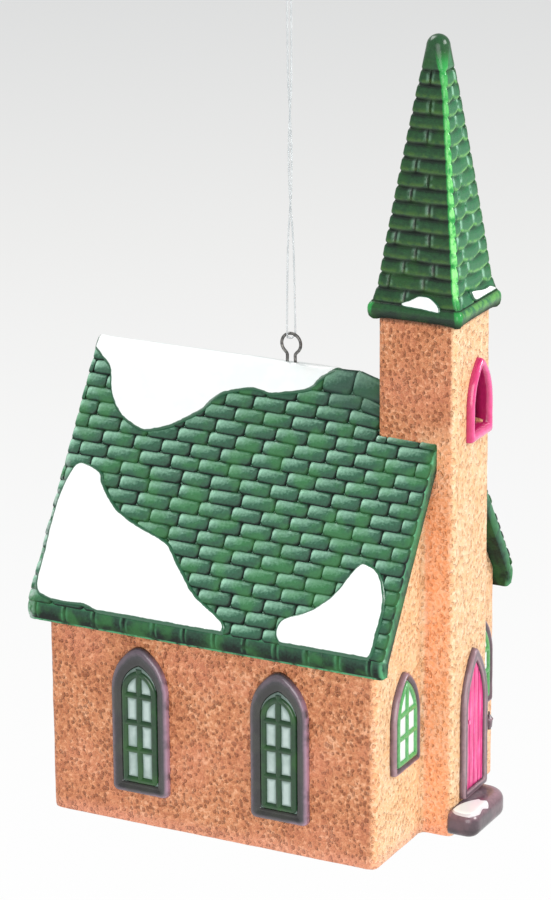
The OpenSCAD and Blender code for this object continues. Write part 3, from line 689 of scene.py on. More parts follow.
def softened(name: str, node: str, voxel: float, rounds: int, uneven: float, finish: Finish, lump: float = 3) -> Object:
    """Makes a cast piece with soft edges and slightly uneven walls of a CAD node.

    Args:
        name: The piece's name.
        node: The CAD node that it stands for.
        voxel: Size of its faces in mm.
        rounds: Rounds of smoothing.
        uneven: Depth of the unevenness in mm.
        finish: Its finish.
        lump: Size of the unevenness in mm.

    Returns:
        The piece.
    """
    work = bmesh.new()
    work.from_mesh(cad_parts[node].data)
    bmesh.ops.remove_doubles(work, verts=work.verts, dist=1e-6)
    mesh = bpy.data.meshes.new(name)
    work.to_mesh(mesh)
    work.free()
    mesh.transform(Matrix.Scale(1 / MM, 4))
    maker = linked(name + "_maker", mesh)
    remesh = maker.modifiers.new("remesh", "REMESH")
    remesh.mode = "VOXEL"
    remesh.voxel_size = voxel
    smooth = maker.modifiers.new("smooth", "SMOOTH")
    smooth.iterations = rounds
    smooth.factor = 0.5
    result = plain_mesh(maker)
    points, normals = np.empty((2, len(result.vertices) * 3), np.float32)
    result.vertices.foreach_get("co", points)
    result.vertices.foreach_get("normal", normals)
    points, normals = points.reshape(-1, 3), normals.reshape(-1, 3)
    points += normals * (wobble(points, lump, uneven) - uneven)[:, None]
    result.vertices.foreach_set("co", points.reshape(-1))
    result.transform(Matrix.Scale(MM, 4))
    keep(result, "relief", np.full(len(points), EVEN_RELIEF))
    result.update()
    return finished(name, result, node, finish)


def plain_mesh(maker: Object) -> Mesh:
    """Turns an object with its modifiers into a plain mesh and removes the object."""
    graph = bpy.context.evaluated_depsgraph_get()
    mesh = bpy.data.meshes.new_from_object(maker.evaluated_get(graph))
    bpy.data.objects.remove(maker)
    return mesh


class NodeForm:
    """A Geometry Nodes tree with named inputs."""

    def __init__(self, name: str, numbers: Mapping[str, float]) -> None:
        """Starts the tree.

        Args:
            name: The tree's name.
            numbers: Its named inputs and their values.
        """
        self.numbers = dict(numbers)
        self.tree = bpy.data.node_groups.new(name, "GeometryNodeTree")
        face = self.tree.interface
        face.new_socket("Geometry", in_out="OUTPUT", socket_type="NodeSocketGeometry")
        face.new_socket("Geometry", in_out="INPUT", socket_type="NodeSocketGeometry")
        self.keys = {n: face.new_socket(n, in_out="INPUT", socket_type="NodeSocketFloat").identifier for n in numbers}
        self.finish_key = face.new_socket("Finish", in_out="INPUT", socket_type="NodeSocketMaterial").identifier
        self.writer = NodeWriter(self.tree)
        self.given = {s.name: Value(self.writer, s) for s in self.writer.add("NodeGroupInput").outputs}

    def marked(self, geometry: Value, relief: Any) -> Value:
        """Keeps the relief value, which on some pieces carries painted light and shade, at the points of a geometry."""
        inputs = {"Geometry": geometry, "Name": "relief", "Value": relief}
        return self.writer.out("GeometryNodeStoreNamedAttribute", inputs, data_type="FLOAT", domain="POINT")

    def close(self, geometry: Value) -> None:
        """Ends the tree with realized instances, smooth shading and the finish."""
        w = self.writer
        smooth = w.out("GeometryNodeSetShadeSmooth", {0: w.out("GeometryNodeRealizeInstances", {0: geometry})})
        dressed = w.out("GeometryNodeSetMaterial", {"Geometry": smooth, "Material": self.given["Finish"]})
        w.add("NodeGroupOutput", {0: dressed})

    def grown(self, name: str, base: Mesh, finish: Finish) -> Mesh:
        """Grows the form on a base mesh.

        Args:
            name: Name of the result.
            base: The mesh that carries the form.
            finish: The finish that the tree sets.

        Returns:
            The plain mesh.
        """
        maker = linked(name + "_maker", base)
        modifier = maker.modifiers.new("form", "NODES")
        modifier.node_group = self.tree
        for label, key in self.keys.items():
            modifier[key] = float(self.numbers[label])
        modifier[self.finish_key] = finish.material()
        result = plain_mesh(maker)
        result.name = name
        return result


def laid_tiles(length: float, height: float, relief: float) -> NodeForm:
    """Returns the tree that lays a pillow-shaped tile on every point of a mesh.

    A point's "span" holds the tile's length, height and relief as shares of the common tile.

    Args:
        length: Length of a common tile in mm.
        height: Height of its course in mm.
        relief: How far it stands out in mm.
    """
    form = NodeForm("laid_tiles", {
        "Length": length, "Height": height, "Relief": relief, "Joint": 0.08, "Rounding": 0.5,
        "Shoulder": 0.28, "Lap": 0.3, "Lean": 0.28, "Tilt": 0.045, "Rear": 1, "Seed": 7,
    })
    w, given = form.writer, form.given
    # Five rows of faces round a drum of twelve sides become the tile's edge and shoulder
    drum = w.out("GeometryNodeMeshCylinder", {"Vertices": 12, "Side Segments": 5, "Radius": 1, "Depth": 1},
                 fill_type="NGON")
    half_side = radians(15)
    x, y, z = w.split(w.out("GeometryNodeInputPosition"))
    angle = w.math("ARCTAN2", y, x) + half_side
    level = z + 0.5
    # The upper edge laps under the next course and slopes, and the lower one is a round nose
    upper = w.math("MAXIMUM", w.math("SINE", angle), 0)
    shoulder = w.math("MULTIPLY_ADD", upper, given["Lap"] + 0.08, given["Shoulder"])
    inset = level**3.0 * shoulder - upper * given["Lap"]
    sides = []
    for wave, size in (("COSINE", "Length"), ("SINE", "Height")):
        turn = w.math(wave, angle)
        corner = (cos(half_side) - w.math("ABSOLUTE", turn)) / sqrt(0.5)
        reach = (given[size] - given["Joint"]) * 0.5 - inset - corner * given["Rounding"]
        sides.append(w.math("SIGN", turn) * reach)
    rise = (1.0 - (1.0 - level) ** 1.8) * given["Relief"]
    rise = rise * w.math("MULTIPLY_ADD", w.math("SINE", angle), given["Lean"] * -1, 1)
    # Painted light and shade: the upper and rear edges are painted pale with a painted highlight band, and the lower
    # edge is painted dark as the shade under the tile's nose
    lit = w.math("MULTIPLY_ADD", w.math("COSINE", angle), given["Rear"] * 0.75, w.math("SINE", angle) * 0.65)
    thin = w.math("MINIMUM", w.math("MAXIMUM", w.math("MULTIPLY_ADD", lit, 1.3, 0.1), 0), 1)
    band = 1.0 - w.math("MINIMUM", w.math("ABSOLUTE", w.math("MULTIPLY_ADD", level, 2.4, -2)), 1)
    run = w.math("MULTIPLY_ADD", lit, 0.13, 0.5)
    shade = level ** w.math("MULTIPLY_ADD", thin, -3, 3.4) * run
    shade = w.math("MULTIPLY_ADD", w.math("MAXIMUM", lit, 0) * band, 0.5, shade)
    position = w.out("ShaderNodeCombineXYZ", {0: sides[0], 1: sides[1], 2: rise})
    tile = w.out("GeometryNodeSetPosition", {"Geometry": form.marked(drum, shade), "Position": position})
    # Every tile is laid a little askew
    tilt = w.vector("SCALE", (1, 0.5, 0.7), given["Tilt"])
    seed = w.out("FunctionNodeFloatToInt", {0: given["Seed"]})
    turn = w.out("FunctionNodeRandomValue", {0: w.vector("SCALE", tilt, -1), 1: tilt, 8: seed},
                 data_type="FLOAT_VECTOR")
    form.close(w.out("GeometryNodeInstanceOnPoints", {
        "Points": given["Geometry"], "Instance": tile, "Rotation": w.out("FunctionNodeEulerToRotation", {0: turn}),
        "Scale": w.out("GeometryNodeInputNamedAttribute", {"Name": "span"}, data_type="FLOAT_VECTOR"),
    }))
    return form


@dataclass
class Photograph:
    """The camera, fitted to the photograph's corners and edges."""

    place: Place = (-0.50133, -0.25555, 0.0951)
    right: Place = (0.456141, -0.889879, -0.00717)
    up: Place = (0.277571, 0.134615, 0.951227)
    lens: float = 150.72

    def build(self) -> None:
        """Sets up the scene's camera."""
        right, up = Vector(self.right), Vector(self.up)
        camera = linked("camera", bpy.data.cameras.new("camera"))
        turn = Matrix((right, up, right.cross(up))).transposed().to_4x4()
        camera.matrix_world = Matrix.Translation(self.place) @ turn
        camera.data.lens = self.lens
        camera.data.sensor_width = 36.0
        bpy.context.scene.camera = camera


@dataclass
class Studio:
    """Plain pale floor, soft lamps and an even world."""

    floor_drop: float = 0.42
    key_power: float = 9.8
    fill_power: float = 5.3
    back_power: float = 8.0
    sky: float = 0.56
    floor_reach: float = 8.0
    floor_tone: tuple[float, float, float, float] = (0.86, 0.86, 0.86, 1)
    floor_roughness: float = 0.9
    floor_glow: float = 0.9
    aim: Place = (0, 0, -0.09)
    # Direction along the floor away from the camera, and where its far tone begins and ends
    away: Place = (0.889, 0.458, 0)
    far: Point = (0.5, 2.4)

    def build(self) -> None:
        """Builds the floor, the lamps and the world."""
        scene = bpy.context.scene
        scene.view_settings.view_transform = "Standard"
        mesh = bpy.data.meshes.new("floor")
        far, low = self.floor_reach, -self.floor_drop
        mesh.from_pydata([(-far, -far, low), (far, -far, low), (far, far, low), (-far, far, low)], [], [(0, 1, 2, 3)])
        floor = linked("floor", mesh)
        mesh.materials.append(self.floor_material())
        self.lamp("key", (0.25, -0.95, 0.55), self.key_power, 0.5)
        self.lamp("fill", (-0.95, -0.35, 0.12), self.fill_power, 0.7)
        self.lamp("back", (0.2, 0.75, 0.8), self.back_power, 0.6)
        world = bpy.data.worlds.new("studio")
        scene.world = world
        world.use_nodes = True
        background = world.node_tree.nodes["Background"].inputs
        background[0].default_value = (1, 1, 1, 1)
        background[1].default_value = self.sky

    def lamp(self, name: str, place: Place, power: float, size: float) -> None:
        """Adds one soft lamp that points at the ornament.

        Args:
            name: The lamp's name.
            place: Where it hangs.
            power: Its power in watts.
            size: The side of its square face in metres.
        """
        lamp = bpy.data.lights.new(name, "AREA")
        lamp.energy = power
        lamp.size = size
        holder = linked(name, lamp)
        aim = Vector(self.aim) - Vector(place)
        holder.matrix_world = Matrix.Translation(place) @ aim.to_track_quat("-Z", "Y").to_matrix().to_4x4()

    def floor_material(self) -> Material:
        """Returns the pale floor, which the camera sees a little greyer far away."""
        material = bpy.data.materials.new("pale_floor")
        material.use_nodes = True
        w = NodeWriter(material.node_tree)
        shader = material.node_tree.nodes["Principled BSDF"]
        shader.inputs["Base Color"].default_value = self.floor_tone
        shader.inputs["Roughness"].default_value = self.floor_roughness
        place = w.out("ShaderNodeTexCoord", output="Object")
        away = w.out("ShaderNodeVectorMath", {0: place, 1: self.away}, "Value", operation="DOT_PRODUCT")
        tone = w.ramp(w.smooth(away, *self.far), [(0, "FEFEFE"), (0.45, "F0F0EF"), (1, "DEDFDF")])
        glow = w.out("ShaderNodeEmission", {0: tone, 1: 1})
        seen = w.add("ShaderNodeLightPath").outputs
        camera, glossy, through = (Value(w, seen[f"Is {n} Ray"]) for n in ("Camera", "Glossy", "Transmission"))
        rays = w.math("MAXIMUM", camera, w.math("MAXIMUM", glossy, through))
        lit = Value(w, shader.outputs[0])
        mixed = w.out("ShaderNodeMixShader", {0: rays * self.floor_glow, 1: lit, 2: glow})
        w.link(mixed, material.node_tree.nodes["Material Output"], "Surface")
        return material


@dataclass
class Hanging:
    """The thread, its knot and loop, and the wire eye that it passes through."""

    thread: float = 0.3
    rise: float = 54.0
    wire: float = 0.5
    wire_top: float = 77.35
    turn_radius: float = 0.75
    turn_angle: float = -30.0
    ring_radius: float = 1.65
    ring_gap: float = 40.0
    leg_gap: float = 0.7
    leg_foot: float = 70.13
    knot_height: float = 1.6
    knot_turns: float = 4.0
    knot_steps: int = 96
    knot_radius: float = 0.46
    knot_swell: float = 0.12
    knot_strand: float = 0.21
    loop_width: float = 6.0
    loop_height: float = 13.0
    loop_gap: float = 0.3
    strand: tuple[Place, ...] = (
        (0.65, -0.375, 0), (0.58, -0.37, 5), (0.46, -0.34, 10), (0.33, -0.31, 14), (0.28, -0.16, 17),
        (0.25, 0, 19), (0.19, 0.12, 21), (0.1, 0.2, 23), (-0.02, 0.22, 26), (-0.14, 0.17, 29),
        (-0.21, 0.04, 32), (-0.2, -0.08, 34.5), (-0.14, -0.18, 37), (0, -0.26, 40), (0.12, -0.27, 44),
        (0.15, -0.26, 49), (0.15, -0.26, 52), (0.15, -0.26, 54),
    )

    def build(self) -> None:
        """Builds the thread with its knot and loop, and the eye."""
        knot = self.knot()
        loop = self.loop()
        a, reach = radians(self.turn_angle), self.turn_radius
        turn = [(reach * cos(t) * cos(a), reach * cos(t) * sin(a), -reach * sin(t))
                for t in map(radians, (45, 90, 135))]
        route = list(reversed(self.strand)) + turn + [(-x, -y, z) for x, y, z in self.strand]
        line = smooth_line(route, 4) + (0, EYE_PLACE, self.wire_top)
        shape = tube(line, self.thread / 2, 12, (-sin(a), cos(a), 0))
        thread = made("nylon_thread", shape, "hanging_thread", NYLON, Body.THREAD)
        self.eye()

    def knot(self) -> Object:
        """Builds the barrel knot: four tight turns round the two strands."""
        foot = self.wire_top + self.rise
        t = np.linspace(0, 1, self.knot_steps + 1)
        angle = tau * self.knot_turns * t
        radius = self.knot_radius + self.knot_swell * np.sin(pi * t)
        height = foot + self.knot_strand + 0.01 + (self.knot_height - 2 * (self.knot_strand + 0.01)) * t
        line = np.stack([radius * np.cos(angle), EYE_PLACE + radius * np.sin(angle), height], 1)
        shape = tube(line, self.knot_strand, 10, (0, 0, 1))
        for s in (-1, 1):
            core = [(0.16 * s, EYE_PLACE - 0.26 * s, foot + 0.05), (0.1 * s, EYE_PLACE - 0.1 * s, foot + 0.8),
                    (0, EYE_PLACE + 0.28 * s, foot + self.knot_height - 0.02)]
            shape = shape.joined(tube(smooth_line(core, 6), self.thread / 2 + 0.02, 10, (1, 0, 0)))
        return made("thread_knot_turns", shape, "thread_knot", NYLON, Body.HANGER)

    def loop(self) -> Object:
        """Builds the hanging loop, narrow at the knot and round at the hook."""
        knot_top = self.wire_top + self.rise + self.knot_height
        radius = (self.loop_width - self.thread) / 2
        middle = knot_top + self.loop_height - self.thread / 2 - radius
        reach, gap = middle - knot_top, self.loop_gap
        lean = acos(radius / hypot(reach, gap)) + atan(gap / reach)
        sag = lean - QUARTER
        arc = [(0, radius * cos(a), middle + radius * sin(a)) for a in np.linspace(sag, pi - sag, 41)]
        foot = np.array((0, gap, knot_top + 0.02))
        rise = [tuple(foot + (np.array(arc[0]) - foot) * s) for s in (0, 0.25, 0.5, 0.75)]
        line = rise + arc + [(x, -y, z) for x, y, z in reversed(rise)]
        shape = tube(np.array(line) + (0, EYE_PLACE, 0), self.thread / 2, 12, (1, 0, 0))
        return made("nylon_loop", shape, "hanging_loop", NYLON, Body.HANGER)

    def eye(self) -> None:
        """Builds the bent wire: a ring, open at its foot, on two legs."""
        middle = self.wire_top - self.ring_radius
        gap = radians(self.ring_gap)
        side = self.ring_radius * sin(gap)
        bend = middle - self.ring_radius * cos(gap) - (side - self.leg_gap)
        angles = np.linspace(gap - QUARTER, 1.5 * pi - gap, 25)
        ring = [(0, self.ring_radius * cos(a), middle + self.ring_radius * sin(a)) for a in angles]
        legs = [(0, self.leg_gap, z) for z in np.linspace(self.leg_foot, bend - 0.12, 5)]
        route = legs + ring + [(x, -y, z) for x, y, z in reversed(legs)]
        line = smooth_line(route, 4) + (0, EYE_PLACE, 0)
        made("bent_wire_eye", tube(line, self.wire / 2, 18, (1, 0, 0)), "wire_eye", WIRE)


@dataclass
class RoofLines:
    """Sizes of the nave's roof and the places on its slopes."""

    eave_out: float = 24.7
    half_width: float = 22.3
    eave: float = 32.5
    fascia: float = 3.0
    ridge: float = 73.2
    front: float = -2.2
    rear: float = 59.8
    thickness: float = 2.4
    # Left side, right side and rear of the tower at the roof
    tower: Place = (-5.4, 8, 7.9)
    softness: float = 0.54
    worn_places: tuple[float, ...] = (7.9, 8.4, 9.1, 10.4, 12.7, 15, 17)
    worn_drops: tuple[float, ...] = (2, 1.5, 0.85, 0.1, -0.25, -0.1, 0)
    worn_reach: float = 6.0

    @property
    def fascia_top(self) -> float:
        """Height of the foot of the slopes."""
        return self.eave + self.fascia

    @property
    def slope(self) -> float:
        """Rise of the slopes over their run."""
        return (self.ridge - self.fascia_top) / self.eave_out

    @property
    def slope_length(self) -> float:
        """Length of a slope from its foot to the sharp ridge."""
        return hypot(self.eave_out, self.ridge - self.fascia_top)

    def worn(self, points: Array) -> Array:
        """Returns points with the end of the ridge swollen and let down at the tower, as it is on the cast."""
        near = np.interp(points[:, 1], self.worn_places, self.worn_drops)
        drop = near * np.clip(1 - np.abs(points[:, 0]) / self.worn_reach, 0, 1)
        return points - drop[:, None] * np.array((0, 0, 1))

    def surface(self, x: Array) -> tuple[Array, Array, Array]:
        """Returns the height of the roof's surface over x and its outward direction in x and z."""
        root = np.sqrt(x * x + self.softness * self.softness)
        height = self.ridge - self.slope * root
        rise = self.slope * x / root
        size = np.sqrt(1 + rise * rise)
        return height, rise / size, 1 / size


@dataclass
class NaveRoof:
    """The roof's body with its eaves, and the tiles on both slopes."""

    lines: RoofLines = field(default_factory=RoofLines)
    courses: int = 20
    tile_length: float = 5.3
    tile_relief: float = 0.55
    ground: float = 0.45
    block: float = 5.3
    roll: Point = (1, 1.62)
    roll_height: float = 1.95
    roll_span: Point = (-1.15, 1.75)
    cut_width: float = 0.2
    cut_depth: float = 0.34
    rib_width: float = 0.8
    rib_depth: float = 0.12
    lip: float = 0.3
    bare_end: float = 19.5
    bare_gap: float = 0.8
    snow_gap: float = 1.15

    def build(self) -> None:
        """Builds the roof's body and both slopes of tiles."""
        r = self.lines
        shape = self.stretch(0, r.tower[2], r.rear)
        for side in (-1, 1):
            shape = shape.joined(self.stretch(side, r.front, r.tower[2]))
        shape.points = r.worn(shape.points)
        made("roof_body", shape, "nave_roof", ROOF)
        form = laid_tiles(self.tile_length, r.slope_length / self.courses, self.tile_relief)
        for side in (-1, 1):
            self.tiles(form, side)

    def half_section(self, reach: float) -> list[Place]:
        """Returns one side of the roof's section, from under the eaves to the ridge or the tower.

        Args:
            reach: Distance from the ridge line at which the section ends.

        Returns:
            Places across, heights, and the share of each point that the eaves' moulding has.
        """
        r = self.lines
        out, low = r.eave_out, r.eave
        points = [(r.half_width, low, 0), (out - 0.95, low, 0), (out - 0.7, low + 0.06, 0.2),
                  (out - 0.6, low + 0.3, 0.2)]
        # A round roll stands on the narrow foot
        (wide, high), (first, last) = self.roll, self.roll_span
        for a in np.linspace(first, last, 15):
            share = between(a, [first, -0.7, 1.3, last], [0, 1, 1, 0.3])
            points.append((out - wide + wide * cos(a), low + self.roll_height + high * sin(a), share))
        start = out - 1.75
        for x in np.linspace(start, reach, 16) if reach else [*np.linspace(start, 1.8, 14), 1.2, 0.8, 0.4]:
            z, nx, nz = r.surface(np.array([x]))
            drop = between(x, [0.3, 1], [0.2, self.ground])
            points.append((x - drop * float(nx[0]), float(z[0]) - drop * float(nz[0]), 0))
        return points

    def stretch(self, side: int, start: float, end: float) -> Shape:
        """Builds a length of the roof's body: joint ground on the slopes, rolled eaves with cut joints, the under side.

        Args:
            side: -1 or 1 for one slope beside the tower, and 0 for both slopes.
            start: Its front end along the nave.
            end: Its rear end.
        """
        r = self.lines
        under = r.ridge - r.thickness * hypot(1, r.slope)
        reach = {-1: -r.tower[0], 0: 0, 1: r.tower[1]}[side]
        half = self.half_section(reach)
        if side:
            outer = [(side * x, z, m) for x, z, m in half]
            inner = [(side * x, under - r.slope * x, 0) for x in (reach, r.half_width)]
        else:
            top = float(r.surface(np.array([0]))[0][0]) - 0.2
            outer = half + [(0, top, 0)] + [(-x, z, m) for x, z, m in reversed(half)]
            inner = [(x, under - r.slope * abs(x), 0) for x in (-r.half_width, 0, r.half_width)]
        profile = np.array(outer + inner)
        tangent = np.roll(profile, -1, 0) - np.roll(profile, 1, 0)
        normal = np.stack([tangent[:, 1], -tangent[:, 0]], 1) / np.linalg.norm(tangent[:, :2], axis=1)[:, None]
        normal *= -1 if side < 0 else 1
        # Near the ridge the skin sinks straight down, so that its two sides don't cross
        normal[:, 0] *= np.clip(np.abs(profile[:, 0]) / 2.5, 0, 1)
        skin = np.arange(len(profile)) < len(outer)
        moulded = profile[:, 2] * skin
        slope = skin & (np.abs(profile[:, 0]) < r.eave_out - 1.2) & (profile[:, 1] > r.eave + 3)
        facing = 0.5 + 0.5 * normal[:, 1]
        rim = skin & (profile[:, 1] < r.eave + 0.35) & (np.abs(profile[:, 0]) > r.eave_out - 1)
        cap = tessellate_polygon([[Vector((x, z, 0)) for x, z, _ in profile]])
        rings, relief, bright = [], [], []
        for y in self.stations(start, end):
            edge = min(y - r.front, r.rear - y)
            phase = ((y / self.block + 0.5) % 1.0 - 0.5) * self.block
            cut = exp(-((phase / self.cut_width) ** 2))
            rib = 1 - exp(-((phase / self.rib_width) ** 2))
            rounding = 0.45 * (1 - sqrt(max(0, 1 - (1 - min(edge / 0.7, 1)) ** 2)))
            lip = self.lip * between(edge, [0.35, 0.8], [1, 0])
            depth = rounding * skin + moulded * (self.cut_depth * cut + self.rib_depth * rib) - lip * slope
            xz = profile[:, :2] - normal * depth[:, None]
            rings.append(np.stack([xz[:, 0], np.full(len(xz), y), xz[:, 1]], 1))
            # Painted light and shade: the eaves' roll is pale where it faces up and dark where it turns down, and dark
            # in its cut joints
            face = 0.02 + 0.8 * facing**2.2 - 0.6 * cut * moulded
            # The ground is palest where the corners of three tiles leave it bare, partly pale pooled glaze and partly a
            # painted highlight on it
            shade = np.where(slope, 0.8 * between(edge, [0.8, 1.2], [0.5, 1]), face)
            shade = np.where(slope & (np.abs(profile[:, 0]) < 0.7), 0.4, shade)
            bead = between(edge, [0, 0.1, 0.5, 0.75], [0.35, 0.85, 0.5, 0])
            relief.append(np.where(skin, np.clip(shade, 0, 1), 0.2))
            glow = np.where(rim, 0.7, bead * skin)
            # Painted highlights on the roll beside its joints and along its brow
            glow = np.maximum(glow, moulded * facing * 0.8 * exp(-(((abs(phase) - 0.42) / 0.16) ** 2)))
            bright.append(np.maximum(glow, moulded * 0.55 * (1 - cut) * np.exp(-(((facing - 0.84) / 0.07) ** 2))))
        return lofted(np.array(rings), {"relief": np.array(relief), "edge": np.array(bright)}, cap)

    def stations(self, start: float, end: float) -> list[float]:
        """Returns the places along the nave at which the body's rings stand."""
        r = self.lines
        rims = (0, 0.08, 0.2, 0.4, 0.7, 0.85)
        front = [r.front + d for d in rims] if start == r.front else [start]
        rear = [r.rear - d for d in reversed(rims)] if end == r.rear else [end]
        middle = list(np.arange(front[-1] + 0.25, rear[0] - 0.12, 0.25))
        return front + middle + rear

    def layout(self, side: int) -> list[tuple[float, float, float, float]]:
        """Returns the tiles of one slope as along, up, length and height, clear of the tower.

        Args:
            side: -1 for the left slope and 1 for the right.
        """
        r = self.lines
        rng = random.Random(40 + side)
        pitch = r.slope_length / self.courses
        reach = abs(r.tower[0] if side < 0 else r.tower[1])
        wall = (1 - reach / r.eave_out) * r.slope_length
        tiles = []
        for row in range(self.courses):
            low, high = row * pitch, (row + 1) * pitch
            start = r.front - (0.5 if row % 2 else 0) * self.tile_length + rng.uniform(-0.25, 0.25)
            edges = [start]
            while edges[-1] < r.rear:
                edges.append(edges[-1] + self.tile_length * rng.uniform(0.9, 1.1))
            if high > wall:
                edges = sorted(edges + [r.tower[2]])
            for a, b in zip(edges, edges[1:]):
                a, b = max(a, r.front + 0.05), min(b, r.rear - 0.1)
                # Under the snow the tiles end lower than on the bare ridge, where one tile takes up two courses
                bare = r.tower[2] + 0.01 < b < self.bare_end
                ridge_gap = self.bare_gap if bare else self.snow_gap
                reach_up = high + pitch if bare and row == self.courses - 2 else high
                top = min(reach_up, wall if b <= r.tower[2] + 0.01 else r.slope_length - ridge_gap)
                foot = max(low, 0.3)
                hidden = row == self.courses - 1 and b > r.tower[2] + 0.01 and a < self.bare_end
                if b - a > 0.5 and top - foot > 0.5 and not hidden:
                    tiles.append(((a + b) / 2, (foot + top) / 2, b - a, top - foot))
        return tiles

    def tiles(self, form: NodeForm, side: int) -> None:
        """Builds the tiles of one slope."""
        r = self.lines
        pitch = r.slope_length / self.courses
        layout = self.layout(side)
        rng = random.Random(90 + side)
        base = bpy.data.meshes.new("tile_places")
        base.from_pydata([(side * a, u, -self.ground - 0.04) for a, u, _, _ in layout], [], [])
        spans = [(l / self.tile_length, h / pitch, rng.uniform(0.92, 1.06)) for _, _, l, h in layout]
        span = base.attributes.new("span", "FLOAT_VECTOR", "POINT")
        span.data.foreach_set("vector", np.array(spans, np.float32).reshape(-1))
        name = "tiles_left" if side < 0 else "tiles_right"
        # Rear sets which end of each tile gets the painted highlight
        form.numbers["Rear"] = float(side)
        mesh = form.grown(name, base, ROOF)
        up = Vector((-side * r.eave_out, 0, r.ridge - r.fascia_top)) / r.slope_length
        across = Vector((0, float(side), 0))
        turn = Matrix((across, up, across.cross(up))).transposed().to_4x4()
        mesh.transform(Matrix.Translation((side * r.eave_out, 0, r.fascia_top)) @ turn)
        points = np.empty(len(mesh.vertices) * 3)
        mesh.vertices.foreach_get("co", points)
        mesh.vertices.foreach_set("co", placed(r.worn(points.reshape(-1, 3))).reshape(-1))
        mesh.update()
        finished(name, mesh, "nave_roof", ROOF)


def inside_points(outline: Array, fine: float, coarse: float, belt: float) -> tuple[Array, Array]:
    """Fills an outline with points, close together near its edge.

    Args:
        outline: The closed outline.
        fine: Distance of the points near the edge.
        coarse: Distance of the points further in.
        belt: Width of the belt along the edge.

    Returns:
        The points and their distance to the edge.
    """
    found = []
    for step, low, high in ((fine, fine * 0.4, belt), (coarse, belt, 1e9)):
        xs = np.arange(outline[:, 0].min(), outline[:, 0].max(), step)
        ys = np.arange(outline[:, 1].min(), outline[:, 1].max(), step * 0.866)
        grid = np.array([(x + (i % 2) * step / 2, y) for i, y in enumerate(ys) for x in xs])
        distance = edge_distance(grid, outline)
        keep = (distance > low) & (distance <= high) & within(grid, outline)
        found.append((grid[keep], distance[keep]))
    return np.concatenate([f[0] for f in found]), np.concatenate([f[1] for f in found])


def edge_distance(points: Array, outline: Array) -> Array:
    """Returns the distance of points to a closed outline."""
    best = np.full(len(points), 1e9)
    for a, b in zip(outline, np.roll(outline, -1, 0)):
        way = b - a
        t = np.clip(((points - a) @ way) / max(float(way @ way), 1e-12), 0, 1)
        best = np.minimum(best, np.linalg.norm(points - (a + t[:, None] * way), axis=1))
    return best


def within(points: Array, outline: Array) -> Array:
    """Returns which points lie inside a closed outline."""
    inside = np.zeros(len(points), bool)
    x, y = points[:, 0], points[:, 1]
    for a, b in zip(outline, np.roll(outline, -1, 0)):
        if a[1] != b[1]:
            crosses = ((a[1] > y) != (b[1] > y)) & (x < (b[0] - a[0]) * (y - a[1]) / (b[1] - a[1]) + a[0])
            inside ^= crosses
    return inside


def snow_shape(outline: Array, onto: Onto, thickness: float, skirt: float, fine: float, coarse: float,
               rounding: float) -> Shape:
    """Returns a pillow of snow over an outline.

    Args:
        outline: Its closed outline on an unfolded surface.
        onto: Turns places on that surface and heights above it into points.
        thickness: Greatest thickness.
        skirt: How far its edge reaches below the surface.
        fine: Distance of the points near the edge.
        coarse: Distance of the points further in.
        rounding: Width of the rounded edge.
    """
    inner, distance = inside_points(outline, fine, coarse, rounding * 1.6)
    flat = np.concatenate([outline, inner])
    depth = np.concatenate([np.zeros(len(outline)), distance])
    count = len(outline)
    edges = [(i, (i + 1) % count) for i in range(count)]
    verts, _, faces, *_ = delaunay_2d_cdt([Vector(p) for p in flat], edges, [], 1, 1e-5)
    verts = np.array([tuple(v) for v in verts])
    if len(verts) != len(flat):
        depth = edge_distance(verts, outline)
    share = np.clip(depth / rounding, 0, 1)
    uneven = np.array([noise.noise(Vector((p[0] / 6, p[1] / 6, 3))) for p in verts])
    height = thickness * np.sqrt(1 - (1 - share) ** 2) * (0.9 + 0.1 * np.clip(uneven * 1.6, -1, 1))
    top = onto(verts, height)
    bottom = onto(verts, np.full(len(verts), -skirt))
    links: dict[tuple[int, int], int] = {}
    for face in faces:
        for a, b in zip(face, list(face[1:]) + [face[0]]):
            links[(a, b)] = links.get((a, b), 0) + 1
    rim = [(a, b) for a, b in links if (b, a) not in links]
    size = len(verts)
    solid = [list(f) for f in faces] + [[size + i for i in reversed(f)] for f in faces]
    solid += [[b, a, a + size, b + size] for a, b in rim]
    # The rim is the roof's green glaze, in a band widened as painted shade along the snow's raised edge
    edge = np.clip(1.25 - depth / (rounding * 0.78), 0, 1)
    values = {"rim": np.concatenate([edge, np.ones(size)]), "relief": np.full(2 * size, 0.8)}
    return Shape(np.concatenate([top, bottom]), solid, values)


